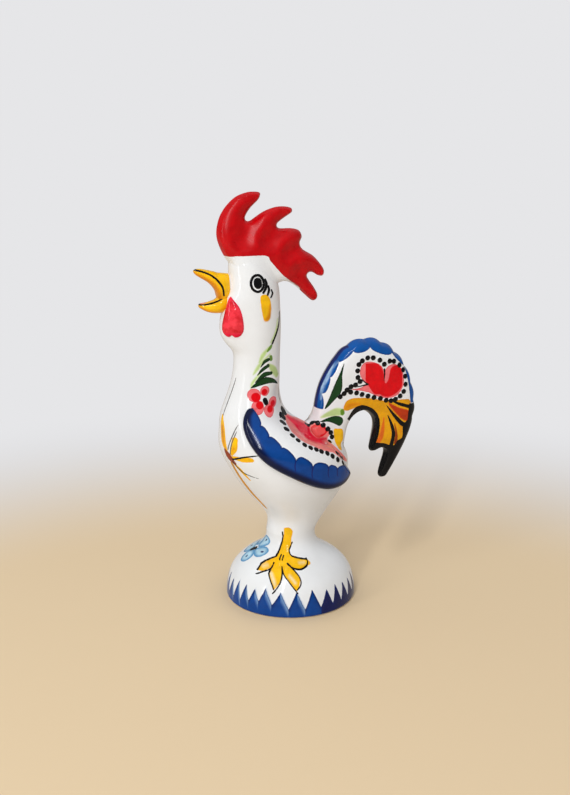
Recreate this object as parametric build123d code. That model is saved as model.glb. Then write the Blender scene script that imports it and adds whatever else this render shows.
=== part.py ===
"""Hand-painted ceramic rooster figure, as the pieces that the potter lutes together.

Millimetres, +Z up. The origin is the centre of the foot ring on the table, the rooster
faces -X and its left side is -Y. Every piece is symmetric about the plane Y = 0 or has a
mirrored partner, because the figure is pressed in a mould that parts on that plane.
"""

import os
from collections import namedtuple
from math import cos, pi, sin

from build123d import *

# Pedestal: a domed foot, open at the top to the hollow body
FOOT_RADIUS = 22.4
FOOT_RIM_HEIGHT = 2.0
WAIST_HEIGHT = 24.0
WAIST_RADIUS = 8.4
DOME_SHOULDER_INSET = 1.9
DOME_SHOULDER_DROP = 14.0
DOME_SLOPE_INSET = 7.0
DOME_SLOPE_DROP = 8.8
COVE_FLARE = 2.5
COVE_DROP = 5.8
FOOT_RING_WIDTH = 4.0
FOOT_RECESS = 1.2
FLOOR_THICKNESS = 3.4
POUR_HOLE_RADIUS = 5.0

# Cast wall of the pedestal and the body
WALL = 3.2

# Lengths that carry the figure upwards from the waist
TORSO_HEIGHT = 46.5
NECK_LENGTH = 12.5

# Half widths across the figure, left to right
BREAST_HALF_WIDTH = 18.6
HEAD_HALF_WIDTH = 7.8
COMB_HALF_THICKNESS = 5.2
TAIL_HALF_THICKNESS = 6.0
BEAK_HALF_WIDTH = 3.5
WATTLE_HALF_WIDTH = 5.4

# How far the wings stand out from the body
WING_RELIEF = 2.2

# Points that draw one oval
OVAL_POINTS = 8

# Heights that the outlines are measured from
SHOULDER_HEIGHT = WAIST_HEIGHT + TORSO_HEIGHT
THROAT_HEIGHT = SHOULDER_HEIGHT + NECK_LENGTH

# A level cut: height, breast edge, back edge and share of the half width
Level = namedtuple("Level", "height front back share")

# Torso and neck: heights are shares of the torso's and the neck's own length
TORSO = [
    Level(0.108, -7.9, 11.0, 0.49),
    Level(0.204, -10.2, 13.8, 0.62),
    Level(0.333, -14.6, 17.7, 0.82),
    Level(0.452, -18.9, 19.6, 0.95),
    Level(0.559, -22.6, 19.8, 1.00),
    Level(0.656, -24.8, 18.2, 0.99),
    Level(0.742, -25.1, 13.0, 0.91),
    Level(0.817, -24.9, 6.6, 0.78),
    Level(0.903, -24.3, 0.2, 0.63),
]
NECK = [
    Level(0.00, -22.6, -3.0, 1.20),
    Level(0.48, -20.1, -4.0, 1.00),
]

# Head: heights above the throat
HEAD = [
    Level(0.0, -18.9, -4.0, 0.92),
    Level(7.0, -19.3, -3.8, 0.95),
    Level(15.0, -20.7, -3.6, 1.00),
    Level(22.0, -21.2, -3.9, 1.00),
    Level(27.0, -21.0, -4.4, 0.95),
    Level(31.5, -20.8, -6.2, 0.85),
    Level(35.5, -20.6, -8.4, 0.72),
    Level(39.0, -19.5, -11.0, 0.51),
]

# Comb: the front lobe in level cuts, the four behind it in upright cuts; heights above the throat
COMB_FRONT_LOBE = [
    Level(33.5, -21.5, -8.5, 0.95),
    Level(37.0, -22.3, -7.0, 1.00),
    Level(41.5, -24.2, -9.0, 0.94),
    Level(46.0, -24.6, -13.6, 0.84),
    Level(50.0, -23.2, -14.6, 0.72),
    Level(53.6, -20.6, -12.8, 0.56),
    Level(56.0, -16.8, -10.6, 0.36),
    Level(57.0, -13.4, -11.2, 0.14),
]

# An upright cut across a lobe: X, lower edge, upper edge and share of the half thickness
Upright = namedtuple("Upright", "x low high share")

COMB_BACK_LOBES = [
    [
        Upright(-14.0, 35.5, 44.5, 0.55),
        Upright(-9.5, 38.5, 49.8, 0.80),
        Upright(-6.0, 43.5, 51.6, 0.68),
        Upright(-3.4, 47.2, 52.0, 0.50),
        Upright(-1.2, 48.8, 52.0, 0.36),
        Upright(0.4, 49.9, 51.2, 0.16),
    ],
    [
        Upright(-9.0, 32.0, 41.0, 0.60),
        Upright(-4.0, 33.5, 44.3, 0.74),
        Upright(0.0, 36.0, 44.6, 0.60),
        Upright(2.4, 38.5, 43.9, 0.42),
        Upright(3.6, 40.6, 42.3, 0.18),
    ],
    [
        Upright(-8.0, 26.0, 37.0, 0.70),
        Upright(-2.0, 27.8, 39.0, 0.86),
        Upright(2.5, 29.0, 38.6, 0.74),
        Upright(6.0, 29.6, 36.4, 0.58),
        Upright(9.0, 29.2, 34.1, 0.40),
        Upright(11.4, 29.0, 30.6, 0.16),
    ],
    [
        Upright(-6.0, 26.0, 33.0, 0.55),
        Upright(-2.0, 27.4, 33.0, 0.66),
        Upright(2.0, 25.8, 31.6, 0.60),
        Upright(5.2, 22.8, 29.3, 0.50),
        Upright(7.6, 21.0, 25.9, 0.36),
        Upright(9.0, 20.9, 22.6, 0.16),
    ],
]

# Tail: the fan, the stem that rises from the rump, the sickle that hangs behind
# and the short feather beside it, in level cuts; heights above the shoulder
TAIL_FEATHERS = [
    [
        Level(-11.5, 7.0, 43.8, 0.70),
        Level(-6.0, 8.0, 44.3, 0.77),
        Level(-0.5, 8.7, 43.8, 0.80),
        Level(4.5, 10.0, 42.6, 0.80),
        Level(9.5, 12.8, 40.4, 0.76),
        Level(14.5, 16.4, 36.4, 0.64),
        Level(18.0, 21.2, 31.4, 0.40),
        Level(19.3, 24.5, 28.5, 0.14),
    ],
    [
        Level(-18.5, 5.5, 17.0, 0.95),
        Level(-13.5, 6.0, 19.1, 1.00),
        Level(-8.5, 6.6, 20.9, 1.00),
        Level(-4.5, 8.1, 21.0, 0.94),
        Level(1.5, 9.4, 20.0, 0.80),
        Level(9.5, 13.6, 18.0, 0.36),
    ],
    [
        Level(3.5, 34.0, 42.0, 0.40),
        Level(-4.5, 29.0, 44.3, 0.74),
        Level(-10.5, 29.6, 44.0, 0.72),
        Level(-15.0, 30.2, 42.5, 0.62),
        Level(-19.5, 33.2, 40.6, 0.54),
        Level(-24.5, 33.0, 38.3, 0.42),
        Level(-28.5, 32.0, 36.0, 0.28),
        Level(-31.0, 32.8, 34.0, 0.12),
    ],
    [
        Level(-10.5, 29.7, 38.0, 0.60),
        Level(-15.5, 29.2, 36.0, 0.52),
        Level(-19.0, 28.3, 33.6, 0.40),
        Level(-21.0, 28.8, 31.0, 0.20),
    ],
]

# The arch between the stem and the sickle, an oval through the fan
ARCH_CENTRE_X = 24.6
ARCH_CENTRE_HEIGHT = -13.5
ARCH_HALF_WIDTH = 5.2
ARCH_HALF_HEIGHT = 7.6

# Mandibles from the face to the tip of the open beak, and the height where they meet,
# above the throat
GAPE_HEIGHT = 23.6
UPPER_BEAK = [
    Upright(-18.5, 21.8, 31.4, 1.00),
    Upright(-22.5, 22.2, 31.0, 1.00),
    Upright(-25.8, 27.0, 31.8, 0.80),
    Upright(-29.2, 29.6, 32.6, 0.52),
    Upright(-32.2, 31.7, 32.7, 0.20),
]
LOWER_BEAK = [
    Upright(-18.5, 20.1, 24.5, 0.94),
    Upright(-22.5, 19.5, 24.3, 0.94),
    Upright(-25.5, 18.8, 23.0, 0.76),
    Upright(-28.5, 19.4, 22.2, 0.52),
    Upright(-30.8, 20.7, 21.7, 0.20),
]

# Left wattle: level cuts, heights above the throat
WATTLE = [
    Level(24.5, -21.8, -19.6, 0.30),
    Level(21.0, -23.0, -17.6, 0.50),
    Level(17.0, -24.3, -16.5, 0.58),
    Level(13.5, -25.0, -16.0, 0.60),
    Level(11.0, -24.4, -16.8, 0.54),
    Level(9.0, -22.6, -18.6, 0.32),
]
WATTLE_OVERLAP = 0.4

# Outline of the left wing in the side view: X, and height as a share of the torso's
WING_OUTLINE = [
    (-18.6, 0.998),
    (-20.0, 0.935),
    (-19.9, 0.860),
    (-18.4, 0.774),
    (-14.4, 0.680),
    (-8.0, 0.589),
    (-0.9, 0.514),
    (6.0, 0.449),
    (12.7, 0.426),
    (16.6, 0.452),
    (18.3, 0.505),
    (16.5, 0.591),
    (10.5, 0.720),
    (1.0, 0.828),
    (-8.5, 0.935),
    (-15.0, 1.011),
]


def oval(half_x, half_y):
    """An ellipse drawn from its +X end, whichever way it is longer, so that lofts don't twist."""
    turns = [2 * pi * step / OVAL_POINTS for step in range(OVAL_POINTS)]
    return make_face(Spline(*[(half_x * cos(t), half_y * sin(t)) for t in turns], periodic=True))


def level_oval(height, front, back, half_width):
    """A level ellipse between two X values."""
    place = Plane.XY.offset(height) * Pos((front + back) / 2, 0)
    return place * oval((back - front) / 2, half_width)


def body_levels(grow=0.0):
    """The level cuts of the body from the waist up, moved outwards by grow."""
    groups = [
        (WAIST_HEIGHT, TORSO_HEIGHT, BREAST_HALF_WIDTH, TORSO),
        (SHOULDER_HEIGHT, NECK_LENGTH, HEAD_HALF_WIDTH, NECK),
        (THROAT_HEIGHT, 1.0, HEAD_HALF_WIDTH, HEAD),
    ]
    waist = WAIST_RADIUS + grow
    cuts = [level_oval(WAIST_HEIGHT, -waist, waist, waist)]
    for foot, unit, half_width, levels in groups:
        for level in levels:
            height = foot + unit * level.height
            width = level.share * half_width + grow
            cuts.append(level_oval(height, level.front - grow, level.back + grow, width))
    return cuts


def make_body(outer):
    """Breast, back, neck and head in one hollow casting, open at the waist."""
    cavity = loft(body_levels(-WALL)[:-1])
    return outer - cavity


def make_pedestal():
    """Dome on a foot ring; the pour hole in its floor drains the mould."""
    waist = (WAIST_RADIUS, WAIST_HEIGHT)
    rim = (FOOT_RADIUS, FOOT_RIM_HEIGHT)
    shoulder = (FOOT_RADIUS - DOME_SHOULDER_INSET, WAIST_HEIGHT - DOME_SHOULDER_DROP)
    slope = (FOOT_RADIUS - DOME_SLOPE_INSET, WAIST_HEIGHT - DOME_SLOPE_DROP)
    cove = (WAIST_RADIUS + COVE_FLARE, WAIST_HEIGHT - COVE_DROP)
    flank = Spline(rim, shoulder, slope, cove, waist, tangents=[(0, 1), (0, 1)])
    closing = Polyline(waist, (0, WAIST_HEIGHT), (0, 0), (FOOT_RADIUS, 0), rim)
    dome = revolve(Plane.XZ * make_face(flank + closing), Axis.Z)

    throat_radius = WAIST_RADIUS - WALL
    floor_edge = (FOOT_RADIUS - WALL, FLOOR_THICKNESS)
    throat = (throat_radius, WAIST_HEIGHT - COVE_DROP)
    inner_shoulder = (shoulder[0] - WALL, shoulder[1] - WALL / 3)
    inner_slope = (slope[0] - WALL, slope[1] - WALL * 2 / 3)
    inside = Spline(floor_edge, inner_shoulder, inner_slope, throat)
    closing = Polyline(
        throat,
        (throat_radius, WAIST_HEIGHT),
        (0, WAIST_HEIGHT),
        (0, FLOOR_THICKNESS),
        floor_edge,
    )
    hollow = revolve(Plane.XZ * make_face(inside + closing), Axis.Z)

    upwards = (Align.CENTER, Align.CENTER, Align.MIN)
    recess = Cylinder(FOOT_RADIUS - FOOT_RING_WIDTH, FOOT_RECESS, align=upwards)
    pour_hole = Cylinder(POUR_HOLE_RADIUS, FLOOR_THICKNESS, align=upwards)
    return dome - hollow - recess - pour_hole


def upright_oval(x, low, high, half_width):
    """An ellipse on the plane of one X value, between two heights."""
    place = Plane((x, 0, (low + high) / 2), x_dir=(0, 1, 0), z_dir=(1, 0, 0))
    return place * oval(half_width, (high - low) / 2)


def level_lobe(levels, foot, half_thickness):
    """A lobe through level cuts whose heights start at foot."""
    return loft([level_oval(foot + c.height, c.front, c.back, c.share * half_thickness) for c in levels])


def upright_lobe(cuts, foot, half_thickness):
    """A lobe through upright cuts whose heights start at foot."""
    return loft([upright_oval(c.x, foot + c.low, foot + c.high, c.share * half_thickness) for c in cuts])


def make_comb(body):
    """Five overlapping lobes in one fin, cut to seat on the crown and the nape."""
    front = level_lobe(COMB_FRONT_LOBE, THROAT_HEIGHT, COMB_HALF_THICKNESS)
    behind = [upright_lobe(cuts, THROAT_HEIGHT, COMB_HALF_THICKNESS) for cuts in COMB_BACK_LOBES]
    return front.fuse(*behind) - body


def make_tail(body):
    """The feathers of the tail in one fin with an arch through it, cut to seat on the rump."""
    arch_place = Plane.XZ * Pos(ARCH_CENTRE_X, SHOULDER_HEIGHT + ARCH_CENTRE_HEIGHT)
    arch_face = arch_place * oval(ARCH_HALF_WIDTH, ARCH_HALF_HEIGHT)
    arch = extrude(arch_face, amount=2 * TAIL_HALF_THICKNESS, both=True)
    feathers = [level_lobe(cuts, SHOULDER_HEIGHT, TAIL_HALF_THICKNESS) for cuts in TAIL_FEATHERS]
    fan = feathers[0] - arch
    return fan.fuse(*feathers[1:]) - body


def make_beak(body):
    """The open beak: two mandibles that meet level with the corner of the mouth."""
    gape = Plane.XY.offset(THROAT_HEIGHT + GAPE_HEIGHT)
    upper = upright_lobe(UPPER_BEAK, THROAT_HEIGHT, BEAK_HALF_WIDTH)
    lower = upright_lobe(LOWER_BEAK, THROAT_HEIGHT, BEAK_HALF_WIDTH)
    upper = split(upper, gape, keep=Keep.TOP) - body
    lower = split(lower, gape, keep=Keep.BOTTOM) - body
    return upper, lower


def make_wattles(body, beak):
    """Two flaps under the beak that meet each other on the plane Y = 0."""
    cuts = []
    for level in WATTLE:
        half = level.share * WATTLE_HALF_WIDTH
        cut = level_oval(THROAT_HEIGHT + level.height, level.front, level.back, half)
        cuts.append(Pos(0, WATTLE_OVERLAP - half) * cut)
    flap = split(loft(cuts), Plane.XZ, keep=Keep.TOP)
    return [side - [body, *beak] for side in (flap, mirror(flap, about=Plane.XZ))]


def make_wings(body, tail):
    """Two pads of even relief that follow the flanks of the body and stop at the tail."""
    points = [(x, WAIST_HEIGHT + share * TORSO_HEIGHT) for x, share in WING_OUTLINE]
    outline = Spline(*points, periodic=True)
    reach = BREAST_HALF_WIDTH + 2 * WING_RELIEF
    slab = extrude(Plane.XZ * make_face(outline), amount=reach)
    skin = loft(body_levels(WING_RELIEF))
    return [(side & skin) - [body, tail] for side in (slab, mirror(slab, about=Plane.XZ))]


def build_all():
    """Every piece of the figure by its name."""
    outer = loft(body_levels())
    upper_beak, lower_beak = make_beak(outer)
    left_wattle, right_wattle = make_wattles(outer, [upper_beak, lower_beak])
    tail = make_tail(outer)
    left_wing, right_wing = make_wings(outer, tail)
    return {
        "pedestal": make_pedestal(),
        "body": make_body(outer),
        "comb": make_comb(outer),
        "tail": tail,
        "upper_beak": upper_beak,
        "lower_beak": lower_beak,
        "left_wattle": left_wattle,
        "right_wattle": right_wattle,
        "left_wing": left_wing,
        "right_wing": right_wing,
    }


os.makedirs("parts", exist_ok=True)
for node, solid in build_all().items():
    export_step(solid, f"parts/{node}.step")
    print(node, "volume", round(solid.volume, 1), "solids", len(solid.solids()), "valid", solid.is_valid)
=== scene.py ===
# %% [markdown]
# # A painted rooster of glazed clay
#
# The figure is white earthenware: a hollow cast body on a domed foot, with a comb, a tail,
# wings, a beak and wattles luted on, glazed white and painted by hand with enamel colours.
# Every form below is a surface worked out with numpy, in millimetres, in the frame of the
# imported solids: +Z is up, the rooster faces -X and its left side is -Y.

import bpy
import numpy as np
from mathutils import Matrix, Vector
from mathutils.geometry import delaunay_2d_cdt


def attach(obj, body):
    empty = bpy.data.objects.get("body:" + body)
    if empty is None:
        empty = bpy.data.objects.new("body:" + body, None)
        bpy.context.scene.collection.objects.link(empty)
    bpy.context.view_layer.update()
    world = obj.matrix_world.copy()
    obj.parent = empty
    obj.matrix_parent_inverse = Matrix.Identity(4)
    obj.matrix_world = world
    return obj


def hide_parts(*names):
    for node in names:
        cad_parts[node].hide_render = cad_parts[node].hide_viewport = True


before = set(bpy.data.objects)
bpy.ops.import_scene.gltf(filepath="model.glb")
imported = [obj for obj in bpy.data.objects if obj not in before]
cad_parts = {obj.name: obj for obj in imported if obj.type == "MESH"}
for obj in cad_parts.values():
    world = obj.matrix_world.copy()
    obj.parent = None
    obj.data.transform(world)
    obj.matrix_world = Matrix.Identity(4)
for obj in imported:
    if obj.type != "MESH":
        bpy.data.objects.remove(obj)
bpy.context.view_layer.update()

# %% [markdown]
# ## Smooth curves through a few points
#
# A potter draws a profile by a few places that matter. Two curves carry them on: a natural
# spline, for a value that changes along the height, and a Catmull-Rom curve, for a path that
# turns freely. Blender's own Bezier curves could do it too, but their handles hide the sizes.
# These pass through their points, so each point stays a size that can be read.

# %% Curves
MM = 0.001
MIRROR = (1, -1, 1)


def natural_spline(knots, values, at):
    """Cubic spans through the values, alike in slope and bend where they meet, straight at both ends."""
    knots, values = np.asarray(knots, float), np.asarray(values, float)
    step = np.diff(knots)
    slope = np.diff(values) / step
    bend = np.zeros(len(knots))
    band = np.diag(2 * (step[:-1] + step[1:])) + np.diag(step[1:-1], 1) + np.diag(step[1:-1], -1)
    bend[1:-1] = np.linalg.solve(band, 6 * np.diff(slope))
    span = np.clip(np.searchsorted(knots, at) - 1, 0, len(step) - 1)
    high = (at - knots[span]) / step[span]
    low = 1 - high
    sag = ((low**3 - low) * bend[span] + (high**3 - high) * bend[span + 1]) * step[span] ** 2 / 6
    return low * values[span] + high * values[span + 1] + sag


def curve(points, closed=False, per=8):
    """Catmull-Rom path: each span leaves a point along the chord between that point's neighbours."""
    p = np.asarray(points, float)
    if len(p) == 1:
        return p
    if closed:
        p = np.vstack([p[-1:], p, p[:2]])
    else:
        p = np.vstack([2 * p[:1] - p[1:2], p, 2 * p[-1:] - p[-2:-1]])
    a, b, c, d = p[:-3, None], p[1:-2, None], p[2:-1, None], p[3:, None]
    t = np.linspace(0, 1, per, endpoint=False)[None, :, None]
    path = b + t / 2 * (c - a + t * (2 * a - 5 * b + 4 * c - d + t * (3 * b - a - 3 * c + d)))
    path = path.reshape(-1, p.shape[1])
    return path if closed else np.vstack([path, p[-2:-1]])


def even(path, count):
    """A path's points taken again at even steps of its length."""
    length = np.r_[0, np.cumsum(np.linalg.norm(np.diff(path, axis=0), axis=1))]
    at = np.linspace(0, length[-1], count)
    return np.stack([np.interp(at, length, column) for column in path.T], axis=1)


def loop(points, count):
    """A smooth closed outline as a number of points at even steps."""
    path = curve(points, closed=True)
    return even(np.vstack([path, path[:1]]), count + 1)[:-1]


def smoothstep(low, high, value):
    """0 below low, 1 above high, an S between them."""
    t = np.clip((value - low) / (high - low), 0, 1)
    return t * t * (3 - 2 * t)


def rolled(share):
    """A quarter round: steep at 0, level from 1 on."""
    return np.sqrt(1 - (1 - np.clip(share, 0, 1)) ** 2)


print("a round of four corners has", len(curve([(0, 0), (1, 0), (1, 1), (0, 1)], closed=True)), "points")

# %% [markdown]
# ## Brush strokes as distances
#
# The painting could be an image, but that blurs from close by and needs an unwrapped mesh. Here
# each vertex keeps its distance, in mm, to the edge of every colour, below zero inside the
# paint, and the material cuts at zero, so an edge is sharper than the mesh. A stroke is a path
# with a half width at each point, (across, up, half width), and a patch is a closed outline.
# Both are drawn on a flat sheet, as seen from the side or from the front, and carried straight
# on to the clay.

# %% Strokes and patches
# A distance that counts as no paint, and how far from its box a path is measured, in mm
FAR = 9.0
REACH = 2.5
EVERYWHERE = 1e6
TINY = 1e-9


def near_box(q, path, margin):
    """Which points lie within margin of the path's box."""
    return ((q > path.min(0) - margin) & (q < path.max(0) + margin)).all(1)


def stroke(q, points, closed=False):
    """Distance from each point to the nearest place on the path, less the half width there."""
    path = curve(points, closed)
    if closed or len(path) == 1:
        path = np.vstack([path, path[:1]])
    near = near_box(q, path[:, :2], REACH)
    p = q[near]
    best = np.full(len(p), FAR)
    for start, stop in zip(path[:-1], path[1:]):
        run = stop[:2] - start[:2]
        share = np.clip((p - start[:2]) @ run / max(run @ run, TINY), 0, 1)
        gap = np.linalg.norm(p - start[:2] - share[:, None] * run, axis=1)
        best = np.minimum(best, gap - start[2] - share * (stop[2] - start[2]))
    out = np.full(len(q), FAR)
    out[near] = best
    return out


def patch(q, path, reach=REACH):
    """Distance to the edge of a closed path, below zero where a ray crosses it an odd number of times."""
    near = near_box(q, path, reach)
    p = q[near]
    best = np.full(len(p), FAR)
    inside = np.zeros(len(p), bool)
    for start, stop in zip(path, np.roll(path, -1, axis=0)):
        run = stop - start
        share = np.clip((p - start) @ run / max(run @ run, TINY), 0, 1)
        best = np.minimum(best, np.linalg.norm(p - start - share[:, None] * run, axis=1))
        crosses = (start[1] > p[:, 1]) != (stop[1] > p[:, 1])
        rise = run[1] if run[1] else TINY
        inside ^= crosses & (p[:, 0] < start[0] + (p[:, 1] - start[1]) / rise * run[0])
    out = np.full(len(q), FAR)
    out[near] = np.where(inside, -best, best)
    return out


print("the middle of a brush 2 mm wide lies at", stroke(np.zeros((1, 2)), [(-1, 0, 1.0), (1, 0, 1.0)])[0])


# %% Groups of strokes, corners and scallops
def nearest(*distances):
    """The nearest of several edges."""
    return np.minimum.reduce(distances)


def strokes(q, group):
    """The nearest of a group of strokes."""
    return nearest(*[stroke(q, points) for points in group])


def patches(q, *outlines):
    """The nearest of several patches, each a smooth closed outline."""
    return nearest(*[patch(q, curve(outline, closed=True)) for outline in outlines])


def joined(*paths):
    """Smooth paths one after another, with a sharp corner where one ends and the next starts."""
    return np.vstack([*[curve(path)[:-1] for path in paths], np.asarray(paths[-1][-1:], float)])


def bows(points):
    """A scalloped path through a cusp, a crest, a cusp and so on; two quarter ovals meet at each crest."""
    p = np.asarray(points, float)
    cusp, crest, chord = p[:-2:2, None], p[1:-1:2, None], (p[2::2] - p[:-2:2])[:, None]
    share = ((crest - cusp) * chord).sum(-1, keepdims=True) / (chord**2).sum(-1, keepdims=True)
    rise = crest - cusp - share * chord
    angle = np.radians(np.arange(0, 90, 10))[None, :, None]
    up = cusp + share * (1 - np.cos(angle)) * chord + np.sin(angle) * rise
    down = cusp + (share + (1 - share) * np.sin(angle)) * chord + np.cos(angle) * rise
    return np.vstack([np.concatenate([up, down], axis=1).reshape(-1, 2), p[-1:]])


def outward(path):
    """Directions square to a closed path, away from its inside."""
    along = np.roll(path, -1, axis=0) - np.roll(path, 1, axis=0)
    out = np.stack([along[:, 1], -along[:, 0]], axis=1) / np.linalg.norm(along, axis=1, keepdims=True)
    step = 0.05
    return -out if patch(path[:1] + step * out[:1], path, EVERYWHERE)[0] < 0 else out


print("one scallop has", len(bows([(0, 0), (1, 1), (2, 0)])), "points")

# %% [markdown]
# ## From a grid to a piece
#
# A surface with two parameters is a grid of points, and its faces join each point to its
# right-hand and upper neighbours. They could be added one by one with bmesh, but whole arrays
# are quicker to read and to run. The vertices carry the paint distances as attributes, which
# the material reads. Each piece stands for the solid of the same place, so it replaces it.

# %% Pieces
def grid_faces(rows, columns, closed):
    """Quads between neighbouring rows and columns; closed joins the last column to the first."""
    row = np.arange(rows - 1)[:, None] * columns
    this = np.arange(columns if closed else columns - 1)[None, :]
    following = (this + 1) % columns
    corners = [row + this, row + following, row + columns + following, row + columns + this]
    return np.stack(corners, axis=-1).reshape(-1, 4)


def pole_faces(ring, tip, flip):
    """A fan from one ring of vertices to a tip."""
    following = np.roll(ring, -1)
    fan = np.stack([ring, following, np.full(len(ring), tip)], axis=1)
    return fan[:, ::-1] if flip else fan


def grid_normals(grid, closed):
    """Outward directions: the slope along a row crossed with the slope along a column."""
    wide = np.concatenate([grid[:, -1:], grid, grid[:, :1]], axis=1) if closed else grid
    across = np.gradient(wide, axis=1)
    across = across[:, 1:-1] if closed else across
    normals = np.cross(across, np.gradient(grid, axis=0))
    return normals / np.maximum(np.linalg.norm(normals, axis=-1, keepdims=True), TINY)


def closed_tube(grid, tips, marks, turned=False):
    """A tube with a fan to a tip at each end: its points, faces, marks and the ends' vertices."""
    rows, columns = grid.shape[:2]
    count = rows * columns
    first, last = np.arange(columns), np.arange(count - columns, count)
    fans = [*pole_faces(first, count, True), *pole_faces(last, count + 1, False)]
    faces = [*grid_faces(rows, columns, True), *fans]
    if turned:
        faces = [face[::-1] for face in faces]
    marks = {key: np.r_[value, value[0], value[-1]] for key, value in marks.items()}
    return np.vstack([grid.reshape(-1, 3), tips]), faces, marks, np.r_[first, last]


def add_piece(name, points, faces, node, material, marks, crease=()):
    """A mesh in metres with its paint, in place of one solid; edges between crease vertices stay sharp."""
    mesh = bpy.data.meshes.new(name)
    mesh.from_pydata((np.asarray(points) * MM).tolist(), [], [f.tolist() for f in faces])
    for mark, values in marks.items():
        mesh.attributes.new(mark, "FLOAT", "POINT").data.foreach_set("value", values.astype(np.float32))
    mesh.shade_smooth()
    ends = np.empty(2 * len(mesh.edges), np.int32)
    mesh.edges.foreach_get("vertices", ends)
    sharp = np.isin(ends.reshape(-1, 2), crease).all(axis=1)
    mesh.attributes.new("sharp_edge", "BOOLEAN", "EDGE").data.foreach_set("value", sharp)
    mesh.materials.append(material)
    piece = bpy.data.objects.new(name, mesh)
    bpy.context.collection.objects.link(piece)
    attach(piece, "root")
    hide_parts(node)
    print(name, len(mesh.vertices), "vertices", len(mesh.polygons), "faces", list(marks))


print("a closed grid of 3 rows and 4 columns has", len(grid_faces(3, 4, True)), "faces")

# %% [markdown]
# ## Glaze and enamel colours
#
# The white glaze is a clear glassy coat over pale clay, a little uneven, and the colours are
# enamels laid on by brush, thinner at the edge of a stroke. A material for each colour would
# need the mesh cut along every stroke, so one function builds a material with all of them: it
# starts from the glaze and lays one colour after another where its distance is below zero.
# Fine noise moves each edge a little, and slower noise gives the streaks of a loaded brush.

# %% Colours
def srgb(red, green, blue):
    """A colour of the screen, 0 to 255, as the linear colour that the shader takes."""
    c = np.array([red, green, blue]) / 255
    return (*np.where(c <= 0.04045, c / 12.92, ((c + 0.055) / 1.055) ** 2.4), 1.0)


# Each enamel: its colour in the body of a stroke and at its edge, the width of that edge in mm,
# how well it covers, and how softly it ends in mm. The later ones lie over the earlier ones.
ENAMELS = {
    "pale_green": (srgb(184, 211, 124), srgb(206, 226, 160), 0.6, 0.9, 0.3),
    "fresh": (srgb(90, 134, 20), srgb(104, 150, 40), 0.4, 0.95, 0.12),
    "leaf": (srgb(20, 64, 26), srgb(7, 34, 12), 0.55, 1.0, 0.05),
    "sky": (srgb(182, 220, 238), srgb(40, 136, 190), 0.95, 0.95, 0.1),
    "azure": (srgb(4, 84, 164), srgb(8, 66, 138), 0.7, 1.0, 0.06),
    "cobalt": (srgb(5, 66, 142), srgb(2, 38, 102), 0.8, 1.0, 0.06),
    "wash": (srgb(140, 176, 216), srgb(118, 156, 204), 0.5, 0.75, 0.55),
    # painted highlight: a pale streak where the tail's rounded edge catches the light
    "shine": (srgb(196, 220, 240), srgb(160, 196, 230), 0.3, 0.85, 0.25),
    # deep: darker blue at the wing's rim, partly paint and partly painted shade under the rolled rim
    "deep": (srgb(6, 18, 56), srgb(4, 28, 84), 1.2, 1.0, 0.7),
    # navy: lines, dots and dark teeth, and along the tail's front edge a painted shade
    "navy": (srgb(12, 24, 84), srgb(18, 40, 112), 0.4, 1.0, 0.06),
    "yellow": (srgb(255, 196, 16), srgb(252, 182, 12), 0.6, 1.0, 0.1),
    "amber": (srgb(234, 164, 12), srgb(226, 148, 8), 0.7, 1.0, 0.08),
    # honey: a deeper yellow on the ear, petals and feathers, and on the beak a painted shade
    "honey": (srgb(222, 128, 6), srgb(232, 146, 8), 0.8, 0.85, 0.6),
    "cream": (srgb(255, 238, 196), srgb(255, 226, 160), 0.5, 0.8, 0.5),
    "ochre": (srgb(214, 146, 16), srgb(226, 160, 26), 0.3, 1.0, 0.05),
    "orange": (srgb(220, 96, 20), srgb(228, 116, 22), 0.5, 0.95, 0.12),
    "rust": (srgb(186, 40, 12), srgb(206, 64, 20), 0.6, 0.95, 0.1),
    "brown": (srgb(150, 52, 4), srgb(164, 78, 12), 0.5, 1.0, 0.15),
    "salmon": (srgb(244, 128, 122), srgb(248, 144, 138), 0.6, 0.97, 0.1),
    "crimson": (srgb(238, 12, 54), srgb(236, 38, 70), 0.5, 1.0, 0.3),
    "pink": (srgb(248, 120, 124), srgb(226, 88, 94), 0.4, 1.0, 0.05),
    "coral": (srgb(242, 92, 90), srgb(232, 52, 52), 0.6, 1.0, 0.06),
    "red": (srgb(228, 0, 16), srgb(226, 8, 28), 0.5, 1.0, 0.16),
    "comb_red": (srgb(200, 0, 10), srgb(192, 0, 12), 0.5, 1.0, 0.05),
    "grey": (srgb(84, 80, 78), srgb(104, 98, 94), 0.2, 0.95, 0.05),
    "black": (srgb(6, 6, 8), srgb(8, 8, 10), 0.2, 1.0, 0.05),
    "clay": (srgb(214, 190, 162), srgb(206, 180, 150), 0.3, 1.0, 0.05),
}
print("enamels", len(ENAMELS))


# %% Node helpers
def add_node(tree, kind, values=(), **settings):
    """A node with its settings; each value is a number, a colour or another node's output."""
    node = tree.nodes.new(kind)
    for key, setting in settings.items():
        setattr(node, key, setting)
    for socket, value in dict(values).items():
        if isinstance(value, bpy.types.NodeSocket):
            tree.links.new(value, node.inputs[socket])
        else:
            node.inputs[socket].default_value = value
    return node


def mix_colour(tree, factor, first, second, blend="MIX"):
    """Two colours mixed by a factor."""
    values = {"Factor": factor, 6: first, 7: second}
    return add_node(tree, "ShaderNodeMix", values, data_type="RGBA", blend_type=blend).outputs[2]


def noise(tree, place, scale, detail, **extra):
    """Grey noise on the piece's own coordinates; scale is in turns per metre."""
    values = {"Vector": place, "Scale": scale, "Detail": detail, **extra}
    return add_node(tree, "ShaderNodeTexNoise", values).outputs["Fac"]


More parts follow.
